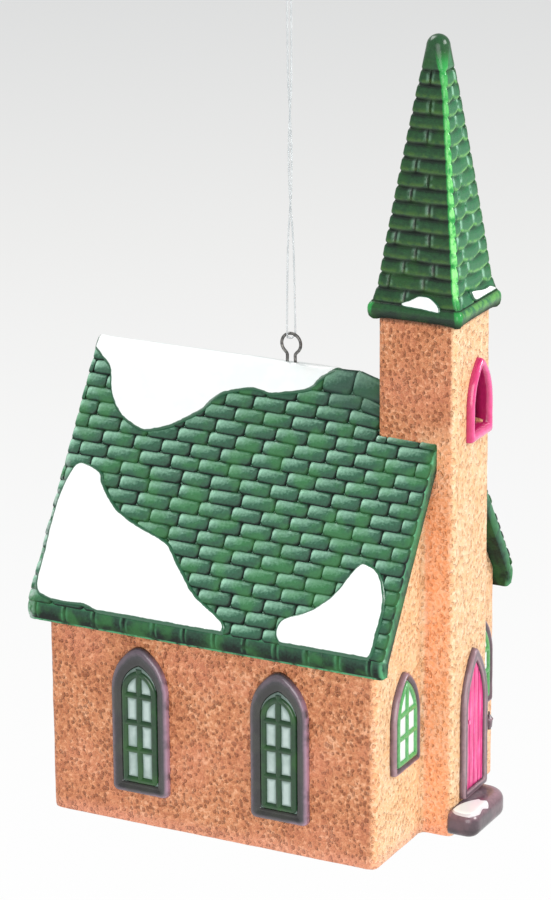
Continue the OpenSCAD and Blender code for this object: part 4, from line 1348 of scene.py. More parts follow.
@dataclass
class RoofSnow:
    """The snow patches on both slopes and over the ridge."""

    lines: RoofLines = field(default_factory=RoofLines)
    thickness: float = 0.58
    # Outlines as shares of the nave's length from its front and of the slopes' reach from the ridge
    patches: dict[str, tuple[Point, ...]] = field(default_factory=lambda: {
        "snow_ridge": (
            (1.02, 0), (1.02, -0.03), (0.987, -0.071), (0.968, -0.093), (0.946, -0.118), (0.935, -0.15),
            (0.925, -0.195), (0.905, -0.245), (0.875, -0.289), (0.843, -0.315), (0.8, -0.334), (0.763, -0.325),
            (0.723, -0.303), (0.686, -0.27), (0.649, -0.232), (0.628, -0.194), (0.607, -0.165), (0.577, -0.147),
            (0.532, -0.131), (0.505, -0.133), (0.474, -0.14), (0.433, -0.128), (0.393, -0.115), (0.361, -0.093),
            (0.349, -0.064), (0.334, -0.04), (0.319, -0.02), (0.304, 0.002), (0.289, 0.03), (0.28, 0.06),
            (0.305, 0.085), (0.35, 0.088), (0.4, 0.1), (0.47, 0.16), (0.53, 0.27), (0.59, 0.33), (0.67, 0.31),
            (0.73, 0.22), (0.8, 0.17), (0.87, 0.19), (0.93, 0.15), (0.985, 0.08), (1.02, 0.03)),
        "snow_rear_left": (
            (0.942, -0.473), (0.908, -0.482), (0.882, -0.5), (0.869, -0.534), (0.846, -0.574), (0.817, -0.612),
            (0.787, -0.637), (0.754, -0.657), (0.715, -0.676), (0.675, -0.693), (0.64, -0.717), (0.612, -0.762),
            (0.586, -0.801), (0.561, -0.84), (0.533, -0.874), (0.496, -0.905), (0.458, -0.933), (0.436, -0.963),
            (0.439, -1.001), (0.473, -1.027), (0.55, -1.023), (0.637, -1.012), (0.731, -1.008), (0.767, -1.009),
            (0.808, -0.99), (0.838, -0.981), (0.873, -0.983), (0.917, -0.983), (0.949, -0.976), (0.973, -0.964),
            (0.986, -0.93), (0.989, -0.892), (0.988, -0.827), (0.99, -0.754), (0.991, -0.681), (0.99, -0.616),
            (0.983, -0.558), (0.974, -0.513), (0.963, -0.484)),
        "snow_front_left": (
            (0.113, -0.667), (0.087, -0.673), (0.065, -0.689), (0.047, -0.723), (0.034, -0.766), (0.027, -0.81),
            (0.026, -0.854), (0.027, -0.899), (0.027, -0.952), (0.035, -0.993), (0.066, -1.013), (0.106, -1.019),
            (0.146, -1.029), (0.188, -1.026), (0.231, -1.022), (0.262, -1.01), (0.286, -0.987), (0.299, -0.958),
            (0.295, -0.915), (0.269, -0.889), (0.232, -0.867), (0.205, -0.84), (0.179, -0.804), (0.162, -0.771),
            (0.147, -0.729), (0.133, -0.694)),
        "snow_rear_right": (
            (0.97, 0.56), (0.9, 0.52), (0.82, 0.57), (0.77, 0.66), (0.7, 0.72), (0.62, 0.8), (0.57, 0.9),
            (0.58, 1.02), (0.68, 1.03), (0.8, 0.98), (0.9, 0.95), (0.965, 0.87), (0.985, 0.7)),
        "snow_front_right": (
            (0.3, 0.7), (0.24, 0.67), (0.19, 0.73), (0.15, 0.82), (0.13, 0.92), (0.15, 1.02), (0.25, 1.03),
            (0.35, 1.01), (0.43, 0.97), (0.45, 0.9), (0.4, 0.83), (0.35, 0.78)),
    })

    def build(self) -> None:
        """Builds every patch."""
        r = self.lines
        stretch = r.slope_length / r.eave_out

        def onto(flat: Array, height: Array) -> Array:
            """Folds places along and down the roof onto its slopes."""
            x = flat[:, 1] / stretch
            z, nx, nz = r.surface(x)
            return np.stack([x + nx * height, flat[:, 0], z + nz * height], 1)

        for node, shares in self.patches.items():
            loop = smooth_line(shares, 6, closed=True)
            y = np.clip(loop[:, 0] * (r.rear - r.front) + r.front, r.front + 0.05, r.rear - 0.02)
            x = np.clip(loop[:, 1] * r.eave_out, -r.eave_out + 0.12, r.eave_out - 0.12)
            outline = tidy_outline(np.stack([y, x * stretch], 1), 0.3)
            shape = snow_shape(outline, onto, self.thickness, 0.5, 0.3, 0.85, 0.75)
            shape.points[:, 0] = np.clip(shape.points[:, 0], -r.eave_out + 0.04, r.eave_out - 0.04)
            shape.points[:, 1] = np.clip(shape.points[:, 1], r.front, r.rear)
            made(node + "_pillow", shape, node, SNOW)


def tidy_outline(outline: Array, step: float) -> Array:
    """Returns a closed outline with points at an even distance."""
    closed = np.concatenate([outline, outline[:1]])
    reach = np.concatenate([[0], np.cumsum(np.linalg.norm(np.diff(closed, axis=0), axis=1))])
    count = max(12, int(reach[-1] / step))
    places = np.arange(count) * reach[-1] / count
    return np.stack([np.interp(places, reach, closed[:, 0]), np.interp(places, reach, closed[:, 1])], 1)


def square_ring(half: float, radius: float, side_points: int, corner_points: int) -> tuple[Array, ...]:
    """Returns a square ring with rounded corners.

    Args:
        half: Half its width.
        radius: Radius of its corners.
        side_points: Points on each side.
        corner_points: Points on each corner.

    Returns:
        Its points, the place of each point along its side, how near it is to a corner, and the number of its side.
    """
    points, across, corner, side = [], [], [], []
    flat = half - radius
    for k in range(4):
        c, s = cos(k * QUARTER), sin(k * QUARTER)
        for t in np.linspace(-1, 1, side_points):
            x, y = flat * t, -half
            points.append((c * x - s * y, s * x + c * y))
            across.append(flat * t)
            corner.append(max(0, 1 - (flat - abs(flat * t)) / 0.45))
        for a in (np.arange(corner_points) + 1) / (corner_points + 1) * QUARTER:
            x, y = flat + radius * sin(a), -flat - radius * cos(a)
            points.append((c * x - s * y, s * x + c * y))
            across.append(half if a < pi / 4 else -half)
            corner.append(1)
        side += [k] * (side_points + corner_points)
    return np.array(points), np.array(across), np.array(corner), np.array(side)


@dataclass
class Spire:
    """The spire with its laid courses and smooth cap, the cornice and its snow."""

    centre: Point = (1.3, 1.4)
    cornice_foot: float = 83.8
    tip: float = 126.5
    cornice_half: float = 7.9
    tower_half: float = 6.7
    course_foot: float = 86.25
    course_pitch: float = 2.2
    cap_foot: float = 120.7
    cap_radius: float = 1.8
    relief: float = 0.34
    front_hang: float = 0.55
    side_hang: float = 0.12
    flare_top: float = 88.8
    half_heights: tuple[float, ...] = (86.2, 87.2, 88.8, 95, 105, 121.2)
    halves: tuple[float, ...] = (7.3, 7.02, 6.65, 5.88, 4.48, 2.1)
    lean: Point = (0.16, -0.31)
    # Shares of a course at which its foot ends and its head begins, and the width of its upright joints
    foot_share: float = 0.16
    head_share: float = 0.68
    joint_width: float = 0.26
    # Upright joints of each course from the foot up, as shares of the left face from its rear corner
    joints: tuple[tuple[float, ...], ...] = (
        (0.37,), (0.15, 0.59), (0.32, 0.71), (0.46,), (0.15, 0.64), (0.41,), (0.62,), (0.3,),
        (0.58,), (0.32,), (), (0.5,), (), (0.52,), (), (0.45,),
    )

    @property
    def course_end(self) -> float:
        """Height of the head of the topmost course."""
        return self.course_foot + len(self.joints) * self.course_pitch

    def half_at(self, z: float) -> float:
        """Returns half the spire's width at a height."""
        return between(z, self.half_heights, self.halves)

    def lean_at(self, z: float) -> Array:
        """Returns how far the cast spire leans at a height."""
        return np.array(self.lean) * between(z, [self.flare_top, self.tip], [0, 1])

    def shingle_edges(self, row: int, face: int, half: float) -> list[float]:
        """Returns the upright edges of a course's shingles across a face, from corner to corner.

        Args:
            row: Number of the course from the foot up.
            face: Number of the face, from the front round to the left.
            half: Half the spire's width at the course.
        """
        shares: Sequence[float] = ()
        if 0 <= row < len(self.joints) and face % 2:
            shares = self.joints[row]
        elif 0 <= row < len(self.joints):
            middle = 0.42 + 0.3 * (row % 2) + 0.05 * sin(row * 2.3)
            shares = (0.12 + 0.14 * (row % 2), middle) if row < 9 else (middle,)
        return [-half] + [(2 * share - 1) * half for share in shares] + [half]

    def coursed(self, z: float, side: Array, across: Array, half: float) -> tuple[Array, Array]:
        """Returns the heights of places within their courses, and their distances to an upright joint.

        The foot of a shingle hangs lowest at its middle.

        Args:
            z: Height of the places.
            side: Number of the face of each place, from the front round to the left.
            across: How far each place is from the middle of its face.
            half: Half the spire's width there.
        """
        rise, gap = np.full(len(across), z), np.full(len(across), 9.0)
        if z < self.course_foot or z >= self.course_end:
            return rise, gap
        for index, (face, place) in enumerate(zip(side, across)):
            hang = self.front_hang if face == 0 else self.side_hang
            top = int((z + hang - self.course_foot) // self.course_pitch)
            for row in (top, top - 1):
                edges = self.shingle_edges(row, int(face), half)
                k = min(max(bisect.bisect_right(edges, place) - 1, 0), len(edges) - 2)
                low, high = edges[k], edges[k + 1]
                share = min(max((place - low) / (high - low), 0), 1)
                hung = z + hang * (1 - (2 * share - 1) ** 2)
                foot = self.course_foot + row * self.course_pitch
                if hung >= foot or row < top:
                    rise[index] = min(max(hung, foot), foot + self.course_pitch - 0.001, self.course_end - 0.001)
                    inner = [abs(place - e) for e in (low, high) if abs(e) < half - 1e-6]
                    gap[index] = min(inner, default=9.0)
                    break
        return rise, gap

    def build(self) -> None:
        """Builds the spire, the cornice and the snow on it."""
        self.body()
        self.cornice()
        self.snow("cornice_snow_left", -QUARTER, (
            (-0.27, 0.53), (-0.11, 0.64), (0.05, 0.78), (0.15, 0.81), (0.32, 0.79), (0.5, 0.6),
            (0.56, 0.36), (0.37, 0.35), (0.21, 0.38), (-0.2, 0.41)))
        self.snow("cornice_snow_front", 0, (
            (-0.28, 0.83), (-0.14, 0.83), (0.29, 0.73), (0.57, 0.72), (0.81, 0.51), (0.27, 0.5), (-0.19, 0.52)))

    def coursing(self) -> NodeForm:
        """Returns the tree that sinks the joints of the courses into the smooth spire."""
        form = NodeForm("laid_courses", {
            "Relief": self.relief, "Joint": self.joint_width, "Joint depth": self.relief, "Foot": self.course_foot,
            "Pitch": self.course_pitch, "Courses": float(len(self.joints)),
        })
        w, given = form.writer, form.given
        rise, gap, front = (w.out("GeometryNodeInputNamedAttribute", {"Name": name}, data_type="FLOAT")
                            for name in ("rise", "gap", "front"))
        course = (rise - given["Foot"]) / given["Pitch"]
        t = course - w.math("FLOOR", course)
        laid = w.math("GREATER_THAN", course, 0) * w.math("LESS_THAN", course, given["Courses"])
        foot = (1.0 - w.math("MINIMUM", t / self.foot_share, 1)) ** 2.0
        head = w.math("MAXIMUM", (t - self.head_share) / (1 - self.head_share), 0) ** 2.0
        bed = w.math("MAXIMUM", foot, head) * given["Relief"]
        joint = (1.0 - w.math("MINIMUM", gap / given["Joint"], 1)) ** 1.5 * given["Joint depth"]
        sink = w.math("MAXIMUM", bed, joint) * laid
        # Painted shade: each course darkens towards its head under the course above, and its sunk beds and joints are
        # dark, less so on the lit front face
        shade = w.math("MULTIPLY_ADD", t * laid, -0.1, 0.78)
        shade = shade - sink / given["Relief"] * w.math("MULTIPLY_ADD", front, -0.4, 0.72)
        offset = w.vector("SCALE", w.out("GeometryNodeInputNormal"), sink * -1)
        marked = form.marked(given["Geometry"], shade)
        form.close(w.out("GeometryNodeSetPosition", {"Geometry": marked, "Offset": offset}))
        return form

    def heights(self) -> list[Point]:
        """Returns the heights of the body's rings, from the sill to the tip, with half the width at each."""
        end, radius = self.course_end, self.cap_radius
        middle = self.tip - radius
        rings = [(86.1, 7.28)] + [(z, self.half_at(z)) for z in np.arange(self.course_foot, end, 0.2)]
        for z in np.linspace(end + 0.15, middle, 10):
            rings.append((z, between(z, [end, middle], [self.half_at(end) - 0.02, radius])))
        arc = np.linspace(0, QUARTER - 0.06, 10)[1:]
        return rings + [(middle + radius * sin(a), radius * cos(a)) for a in arc]

    def body(self) -> None:
        """Builds the courses from the sloping sill up, and the cap."""
        rings = []
        values: dict[str, list[Array]] = {n: [] for n in ("rise", "gap", "edge", "front", "olive", "pale")}
        for z, half in self.heights():
            radius = between(z, [86, 118, 121, self.tip - self.cap_radius], [0.62, 0.5, 0.75, 1.7])
            ring, across, corner, side = square_ring(half, min(radius, half * 0.98), 62, 7)
            rings.append(level_ring(ring + (np.array(self.centre) + self.lean_at(z)), z))
            level, near = self.coursed(z, side, across, half)
            values["rise"].append(level)
            values["gap"].append(near)
            # Painted highlights on the corners, brightest on the corner between the left face and the front, and fading
            # up the cap
            lit = np.where(ring[:, 1] < 0, np.where(ring[:, 0] < 0, 1, 0.4), 0.25)
            shine = np.interp(z, [86, 88.4, self.cap_foot + 1, self.cap_foot + 4], [0.3, 0.95, 0.7, 0.1])
            values["edge"].append(corner * lit * shine)
            # The glaze is thin along the feet of the shingles; beside the upright joints the pale mark is thin glaze
            # and a painted highlight, strongest on the lit front
            t = (level - self.course_foot) / self.course_pitch % 1.0
            laid = self.course_foot < z < self.course_end
            ahead = side == 0
            values["front"].append(np.where(ahead, 1, 0) * (1 - corner))
            feet = np.where(ahead, 0.6 * bell(t - 0.15, 0.09), 0.38 * bell(t - 0.22, 0.13))
            values["olive"].append(feet * laid)
            upper = np.clip((t - 0.15) / 0.15, 0, 1) * np.clip((0.95 - t) / 0.2, 0, 1)
            values["pale"].append(np.where(ahead, bell(near, 0.28), 0.26 * bell(near - 0.45, 0.2)) * upper * laid)
        shape = lofted(np.array(rings), {n: np.array(v) for n, v in values.items()})
        mesh = drawn_mesh("smooth_spire", shape.points, shape)
        grown = self.coursing().grown("coursed_spire", mesh, SPIRE)
        grown.transform(Matrix.Scale(MM, 4) @ Matrix.Translation((0, -EYE_PLACE, -HOOK_HEIGHT)))
        finished("coursed_spire", grown, "spire", SPIRE)

    def cornice(self) -> None:
        """Builds the cornice: a cove, a rounded lip and the start of the sill."""
        t, c = self.tower_half, self.cornice_half
        # Third figures: relief, as painted shade dark under the roll and painted light pale along its top
        profile = [
            (t - 2.4, 83.82, 0.1), (t - 0.1, 83.82, 0.05), (t + 0.25, 83.8, 0.1), (t + 0.7, 83.86, 0.15),
            (c - 0.16, 84.2, 0.35), (c - 0.02, 84.7, 0.6), (c, 85.2, 0.95), (c - 0.06, 85.55, 1),
            (c - 0.22, 85.85, 0.95), (c - 0.42, 86.05, 0.7), (c - 0.5, 86.2, 0.3), (t - 1.4, 86.2, 0.3),
        ]
        rings = []
        values: dict[str, list[Array]] = {n: [] for n in ("relief", "edge", "front", "olive")}
        for offset, z, shade in profile:
            ring, along, corner, side = square_ring(offset, max(0.35, 0.85 - abs(offset - c) * 0.2), 40, 7)
            wave = 0.05 * np.sin(ring[:, 0] * 1.3 + 1) * np.cos(ring[:, 1] * 1.1)
            # The roll sags towards its corners
            sag = 0.42 * (np.abs(along) / offset) ** 4 * between(z, [83.8, 85.6], [1, 0])
            rings.append(level_ring(ring + self.centre, z - np.abs(wave) - sag))
            # Painted light: highlights on the corners, and the lit front painted a paler, lime green
            ahead = np.where(side == 0, 1, 0) * (1 - corner)
            values["relief"].append(np.full(len(ring), shade * 0.8))
            values["edge"].append(corner * 0.6 * shade)
            values["front"].append(ahead * shade)
            values["olive"].append(ahead * 0.45 * shade**2)
        faces = grid_faces(len(rings), len(rings[0]), closed_rows=True, closed_columns=True)
        shape = Shape(np.concatenate(rings), faces, {n: np.concatenate(v) for n, v in values.items()})
        made("rolled_cornice", shape, "spire_cornice", SPIRE)

    def snow(self, node: str, turn: float, shares: tuple[Point, ...]) -> None:
        """Builds a patch of snow on the sill.

        Args:
            node: The CAD node that it stands for.
            turn: Turn about the spire's axis.
            shares: Its outline, as shares of the cornice's half width and of the height up to the flare.
        """
        flare = self.flare_top - self.cornice_foot
        loop = smooth_line(shares, 6, closed=True)
        outline = tidy_outline(np.stack([loop[:, 0] * self.cornice_half, loop[:, 1] * flare], 1), 0.14)
        c, s = cos(turn), sin(turn)

        def onto(flat: Array, height: Array) -> Array:
            """Lays places across and up the sill onto it."""
            z = flat[:, 1]
            out = np.interp(z, [0, 1.3, 1.9, 2.25, 2.6, 3.3, 4.3, 5], [7.6, 7.7, 7.6, 7.4, 7.28, 7.08, 6.75, 6.6])
            x, y = flat[:, 0], -(out + height * 0.9)
            across, along = self.centre[0] + c * x - s * y, self.centre[1] + s * x + c * y
            return np.stack([across, along, self.cornice_foot + z + height * 0.35], 1)

        made(node + "_pillow", snow_shape(outline, onto, 0.42, 0.3, 0.14, 0.3, 0.4), node, SNOW)


@dataclass
class WallPlane:
    """A plane of a wall: its origin, and the directions to the right, up and out of it."""

    origin: Place
    right: Place
    out: Place

    def at(self, across: Any, up: Any, out: Any) -> Array:
        """Returns points of the drawn church for places on the plane."""
        across, up, out = (np.asarray(v, float)[..., None] for v in np.broadcast_arrays(across, up, out))
        right, outward = np.asarray(self.right), np.asarray(self.out)
        return np.asarray(self.origin) + across * right + up * np.array((0, 0, 1)) + out * outward


@dataclass(frozen=True)
class Arch:
    """A pointed arch on its foot."""

    width: float
    height: float
    spring: float
    foot_radius: float = 0.5
    lift: float = 0.0

    def inner(self, band: float, foot_band: float, tip_share: float = 0.75) -> "Arch":
        """Returns the arch drawn in by a band all round.

        Args:
            band: Width of the band at the sides.
            foot_band: Width of the band at the foot.
            tip_share: Share of the band, by the arch's steepness, at the tip.
        """
        tip = band * self.height / self.width * tip_share
        height, spring = self.height - foot_band - tip, self.spring - foot_band
        return Arch(self.width - 2 * band, height, spring, 0.2, self.lift + foot_band)

    def top(self, x: Array) -> Array:
        """Returns the height of the arch over places across it."""
        half, rise = self.width / 2, self.height - self.spring
        shift = (rise * rise - half * half) / self.width
        reach = half + shift
        return self.lift + self.spring + np.sqrt(np.maximum(reach**2 - (np.minimum(np.abs(x), half) + shift) ** 2, 0))

    def outline(self, foot: int = 14, side: int = 16, arc: int = 22) -> Array:
        """Returns the outline, from the middle of the foot round to the right.

        Args:
            foot: Points on half the foot.
            side: Points on a side.
            arc: Points on an arc.
        """
        half, rise = self.width / 2, self.height - self.spring
        shift = (rise * rise - half * half) / self.width
        reach, r = half + shift, self.foot_radius
        tip = atan2(rise, shift)
        right = [(x, 0) for x in np.linspace(0, half - r, foot)]
        right += [(half - r + r * sin(a), r - r * cos(a)) for a in np.linspace(0, QUARTER, 6)[1:]]
        right += [(half, z) for z in np.linspace(r, self.spring, side)[1:]]
        turns = np.linspace(0, tip, arc)[1:]
        right += [(-shift + reach * cos(a), self.spring + reach * sin(a)) for a in turns]
        both = right + [(-x, z) for x, z in reversed(right[1:-1])]
        return np.array(both) + (0, self.lift)


def banded(plane: WallPlane, outer: Arch, inner: Arch, profile: Sequence[Place],
           uneven: float = 0.04, blunt: int = 1) -> Shape:
    """Returns a moulding between two arches.

    Args:
        plane: The wall's plane.
        outer: The outer arch.
        inner: The inner arch.
        profile: Share of the way in, height and relief of each line of the moulding.
        uneven: Depth of its unevenness.
        blunt: Rounds of smoothing that blunt the outer arch's tip.
    """
    a, b = outer.outline(), inner.outline()
    high = a[:, 1] > a[:, 1].max() - 3.0
    for _ in range(blunt):
        a = np.where(high[:, None], (np.roll(a, 1, 0) + 2 * a + np.roll(a, -1, 0)) / 4, a)
    rows = []
    for share, height, _ in profile:
        line = a + (b - a) * share
        lump = np.array([noise.noise(Vector((p[0] * 0.6, p[1] * 0.6, share))) for p in line]) * uneven
        rows.append(plane.at(line[:, 0], line[:, 1], height + (lump - uneven) * (height > 0.2)))
    points = np.array(rows)
    relief = np.array([[p[2]] * len(a) for p in profile])
    # Painted highlight: the outer edge is painted pink where it faces the front and the lamps
    towards = -plane.right[1] * np.clip(a[:, 0] / (outer.width * 0.5), -1, 1)
    outer_edge = np.interp([p[0] for p in profile], [0, 0.12, 0.3], [1, 0.8, 0])
    edge = np.clip(towards, 0, 1)[None, :] ** 2 * outer_edge[:, None]
    faces = grid_faces(len(profile), len(a), closed_rows=True, closed_columns=True)
    return Shape(points.reshape(-1, 3), faces, {"relief": relief.reshape(-1), "edge": edge.reshape(-1)})


@dataclass
class PointedWindow:
    """A window: its moulded frame, its panes and the lattice over them."""

    name: str
    side: WallSide
    place: float
    width: float
    height: float
    foot: float
    band: float
    spring_share: float
    rows: int
    top_row_share: float
    relief: float = 1.0
    bar: float = 0.8
    foot_radius: float = 0.5
    blunt: int = 2

    def finish(self, ahead: Finish, aside: Finish) -> Finish:
        """Returns the finish of the window's pieces, painted lighter on the front and darker on the sides as painted
        light and shade.
        """
        return ahead if self.side is WallSide.FRONT else aside

    def plane(self) -> WallPlane:
        """Returns the plane of the window's wall, at its foot."""
        if self.side is WallSide.FRONT:
            return WallPlane((self.place, 0, self.foot), (1, 0, 0), (0, -1, 0))
        s = float(self.side.value)
        return WallPlane((s * RoofLines.half_width, self.place, self.foot), (0, s, 0), (s, 0, 0))

    def build(self) -> None:
        """Builds the frame, the panes and the lattice."""
        plane = self.plane()
        outer = Arch(self.width, self.height, self.height * self.spring_share, self.foot_radius)
        inner = outer.inner(self.band, self.band)
        h = self.relief
        # Third figures: relief, pale on the outer bead and dark on the inner slope as painted shade
        profile = [
            (0, -0.25, 0.1), (0, 0.12, 0.3), (0.02, 0.5 * h, 0.7), (0.1, 0.86 * h, 0.95), (0.22, h, 0.9),
            (0.36, 1.02 * h, 0.7), (0.5, 0.95 * h, 0.4), (0.64, 0.84 * h, 0.22), (0.8, 0.8 * h, 0.2),
            (0.9, 0.76 * h, 0.15), (1, 0.6 * h, 0.05), (1.06, -0.25, 0),
        ]
        moulding = banded(plane, outer, inner, profile, blunt=self.blunt)
        made(f"moulding_{self.name}", moulding, f"frame_{self.name}", self.finish(FRONT_FRAME, FRAME))
        self.panes(plane, inner)
        self.lattice(plane, inner)

    def bars(self) -> list[float]:
        """Returns the heights of the cross bars above the foot."""
        glass_foot = self.band + self.bar
        spring = self.height * self.spring_share
        glass = spring + (self.height - spring) * 0.45 - glass_foot
        return [glass_foot + glass * i / (self.rows - 1 + self.top_row_share) for i in range(1, self.rows)]

    def panes(self, plane: WallPlane, inner: Arch) -> None:
        """Builds the panes, each one slightly domed between the bars."""
        half = inner.width / 2
        xs = np.linspace(-half, half, 41)
        ts = np.linspace(0, 1, 97)
        tops = inner.top(xs)
        z = inner.lift + ts[:, None] * (tops - inner.lift)[None, :]
        x = np.broadcast_to(xs, z.shape)
        border = np.minimum(half - np.abs(x), np.minimum(z - inner.lift, (tops[None, :] - z) * 0.55)) - self.bar
        gap = np.minimum(border, np.abs(x) - self.bar / 2)
        for bar in self.bars():
            gap = np.minimum(gap, np.abs(z - bar) - self.bar / 2)
        dome = np.clip(gap / 0.8, 0, 1)
        height = 0.62 * self.relief + 0.12 * np.sin(dome * QUARTER)
        relief = 0.15 + 0.75 * np.clip((gap + 0.15) / 0.6, 0, 1)
        front = plane.at(x, z, height)
        back = plane.at(x, z, np.full_like(height, -0.2))
        glazing = sheet_solid(front, back, relief)
        made(f"glazing_{self.name}", glazing, f"panes_{self.name}", self.finish(FRONT_PANE, PANE))

    def lattice(self, plane: WallPlane, inner: Arch) -> None:
        """Builds the bars and the border as round lines that are half sunk in the glazing."""
        centre = self.relief - self.bar * 0.55
        line = inner.inner(self.bar / 2, self.bar / 2).outline()
        points = [(x, z) for x, z in line]
        edges = [(i, (i + 1) % len(points)) for i in range(len(points))]
        half = inner.width / 2

        def add(run: list[Point]) -> None:
            """Adds one bar as a run of points."""
            start = len(points)
            points.extend(run)
            edges.extend((start + i, start + i + 1) for i in range(len(run) - 1))

        top = float(inner.top(np.array([0]))[0])
        add([(0.03 * sin(z * 1.1 + self.place), z) for z in np.linspace(inner.lift + 0.2, top - 0.5, 24)])
        for k, bar in enumerate(self.bars()):
            reach = half - self.bar / 2
            while float(inner.top(np.array([reach]))[0]) < bar + 0.1:
                reach -= 0.05
            add([(x, bar + 0.05 * sin(x * 0.9 + k)) for x in np.linspace(-reach, reach, 12)])
        mesh = bpy.data.meshes.new("bar_lines")
        flat = np.array(points)
        mesh.from_pydata(placed(plane.at(flat[:, 0], flat[:, 1], centre)).tolist(), edges, [])
        form = NodeForm("round_bars", {"Width": self.bar * 1.08 * MM})
        w, given = form.writer, form.given
        curve = w.out("GeometryNodeMeshToCurve", {0: given["Geometry"]})
        section = w.out("GeometryNodeCurvePrimitiveCircle", {"Resolution": 10, "Radius": given["Width"] * 0.5})
        bars = w.out("GeometryNodeCurveToMesh", {"Curve": curve, "Profile Curve": section, "Fill Caps": True})
        form.close(form.marked(bars, 0.66))
        finish = self.finish(FRONT_LATTICE, LATTICE)
        grown = form.grown(f"bars_{self.name}", mesh, finish)
        finished(f"bars_{self.name}", grown, f"lattice_{self.name}", finish)


@dataclass
class TowerFront:
    """The door with its frame, knob, lantern and step, and the belfry opening."""

    face: float = -5.1
    door_centre: float = 2.05
    door: Arch = Arch(8.6, 24.4, 24.4 * 0.58)
    door_foot: float = 5.4
    door_band: float = 1.0
    belfry_centre: float = 2.9
    belfry: Arch = Arch(7.6, 13, 13.0 * 0.42)
    belfry_foot: float = 63.8
    belfry_band: float = 1.2
    step: Point = (-6.9, 7.1)
    step_depth: float = 4.7
    step_heights: Point = (1.1, 5)
    step_roll: float = 1.25
    step_corners: Point = (3.8, 1.9)
    planks: int = 4
    knob_height: float = 12.6
    lantern_out: float = 5.1
    lantern_height: float = 8.6

    def plane(self, centre: float, foot: float) -> WallPlane:
        """Returns the tower's front plane about a centre line and a foot."""
        return WallPlane((centre, self.face, foot), (1, 0, 0), (0, -1, 0))

    def build(self) -> None:
        """Builds the door, the step and the belfry frame."""
        plane = self.plane(self.door_centre, self.door_foot)
        inner = self.door.inner(self.door_band, self.door_band)
        profile = [(0, -0.25, 0.1), (0, 0.3, 0.5), (0.04, 0.75, 0.85), (0.16, 0.95, 1), (0.34, 0.93, 0.5),
                   (0.6, 0.9, 0.45), (0.84, 0.95, 0.95), (0.97, 0.8, 0.8), (1, 0.4, 0.2), (1.05, -0.25, 0)]
        made("door_moulding", banded(plane, self.door, inner, profile), "door_frame", FRONT_FRAME)
        self.leaf(plane, inner)
        self.knob()
        self.lantern()
        self.doorstep()
        self.belfry_frame()

    def leaf(self, plane: WallPlane, inner: Arch) -> None:
        """Builds the leaf of planks with a brushed glaze."""
        half, count = inner.width / 2, self.planks
        xs = np.linspace(-half, half, 61)
        ts = np.linspace(0, 1, 61)
        tops = inner.top(xs)
        z = inner.lift + ts[:, None] * (tops - inner.lift)[None, :]
        x = np.broadcast_to(xs, z.shape)
        place = (x + half) / inner.width * count
        joint = np.abs(place - np.round(place)) * inner.width / count
        inside = (np.round(place) > 0) & (np.round(place) < count)
        groove = np.where(inside, bell(joint, 0.13), 0)
        grain = np.array([noise.noise(Vector((a * 3.2, b * 0.25, 5))) for a, b in zip(x.ravel(), z.ravel())])
        grain = grain.reshape(x.shape)
        height = 0.43 - 0.2 * groove + 0.02 * grain
        relief = np.clip(0.62 - 0.5 * groove + 0.5 * grain, 0, 1)
        front, back = plane.at(x, z, height), plane.at(x, z, np.full_like(height, -0.2))
        made("door_planks", sheet_solid(front, back, relief), "door_leaf", DOOR)

    def knob(self) -> None:
        """Builds the knob on its plate, turned about the axis out of the door."""
        leaf = self.door_centre - self.door.width / 2 + self.door_band
        x = leaf + (self.door.width - 2 * self.door_band) / (2 * self.planks)
        y, z = self.face - 0.45, self.door_foot + self.knob_height
        profile = [(0, 0.32), (0.04, 0.32), (0.08, 0.2), (0.16, 0.2), (0.22, 0.36), (0.3, 0.42), (0.38, 0.38),
                   (0.43, 0.25), (0.45, 0.06)]
        angles = np.arange(16) * tau / 16
        rings = np.array([[(x + r * cos(a), y - out, z + r * sin(a)) for a in angles] for out, r in profile])
        relief = np.array([[0.5 + out] * 16 for out, _ in profile])
        made("turned_knob", lofted(rings, {"relief": relief}), "door_knob", DOOR)

    def lantern(self) -> None:
        """Builds the lantern: a tapered body under a cap, with a finial and a bracket."""
        x, y = self.door_centre + self.lantern_out, self.face - 0.72
        z0 = self.door_foot + self.lantern_height
        profile = [(0, 0.12), (0.1, 0.3), (0.35, 0.34), (0.45, 0.42), (0.5, 0.48), (1.7, 0.6), (1.78, 0.68),
                   (1.92, 0.68), (2.1, 0.5), (2.5, 0.26), (2.62, 0.16), (2.8, 0.18), (3, 0.16), (3.18, 0.05)]
        angles = np.arange(12) * tau / 12 + tau / 24
        rings = np.array([[(x + r * cos(a), y + r * sin(a), z0 + h) for a in angles] for h, r in profile])
        relief = np.array([[0.35 + r * 0.6] * 12 for _, r in profile])
        shape = lofted(rings, {"relief": relief})
        arm = smooth_line([(x, self.face + 0.35, z0 + 1.2), (x, self.face - 0.2, z0 + 1.25), (x, y, z0 + 1.3)], 4)
        shape = shape.joined(tube(arm, 0.3, 10, (0, 0, 1)))
        made("wall_lantern_body", shape, "wall_lantern", STEP)

    def step_outline(self, inset: float) -> Array:
        """Returns the step's plan, with its rounded right corner, drawn in at its free edges."""
        left, right, front = self.step[0] + inset, self.step[1] - inset, self.face - self.step_depth + inset
        big, small = self.step_corners[0] - inset, max(self.step_corners[1] - inset, 0.15)
        points = [(x, self.face) for x in np.linspace(right, left, 16)]
        points += [(left, y) for y in np.linspace(self.face, front + small, 8)[1:]]
        for a in np.linspace(0, QUARTER, 6)[1:]:
            points.append((left + small - small * cos(a), front + small - small * sin(a)))
        points += [(x, front) for x in np.linspace(left + small, right - big, 18)[1:]]
        for a in np.linspace(0, QUARTER, 12)[1:]:
            points.append((right - big + big * sin(a), front + big - big * cos(a)))
        points += [(right, y) for y in np.linspace(front + big, self.face, 4)[1:-1]]
        return np.array(points)

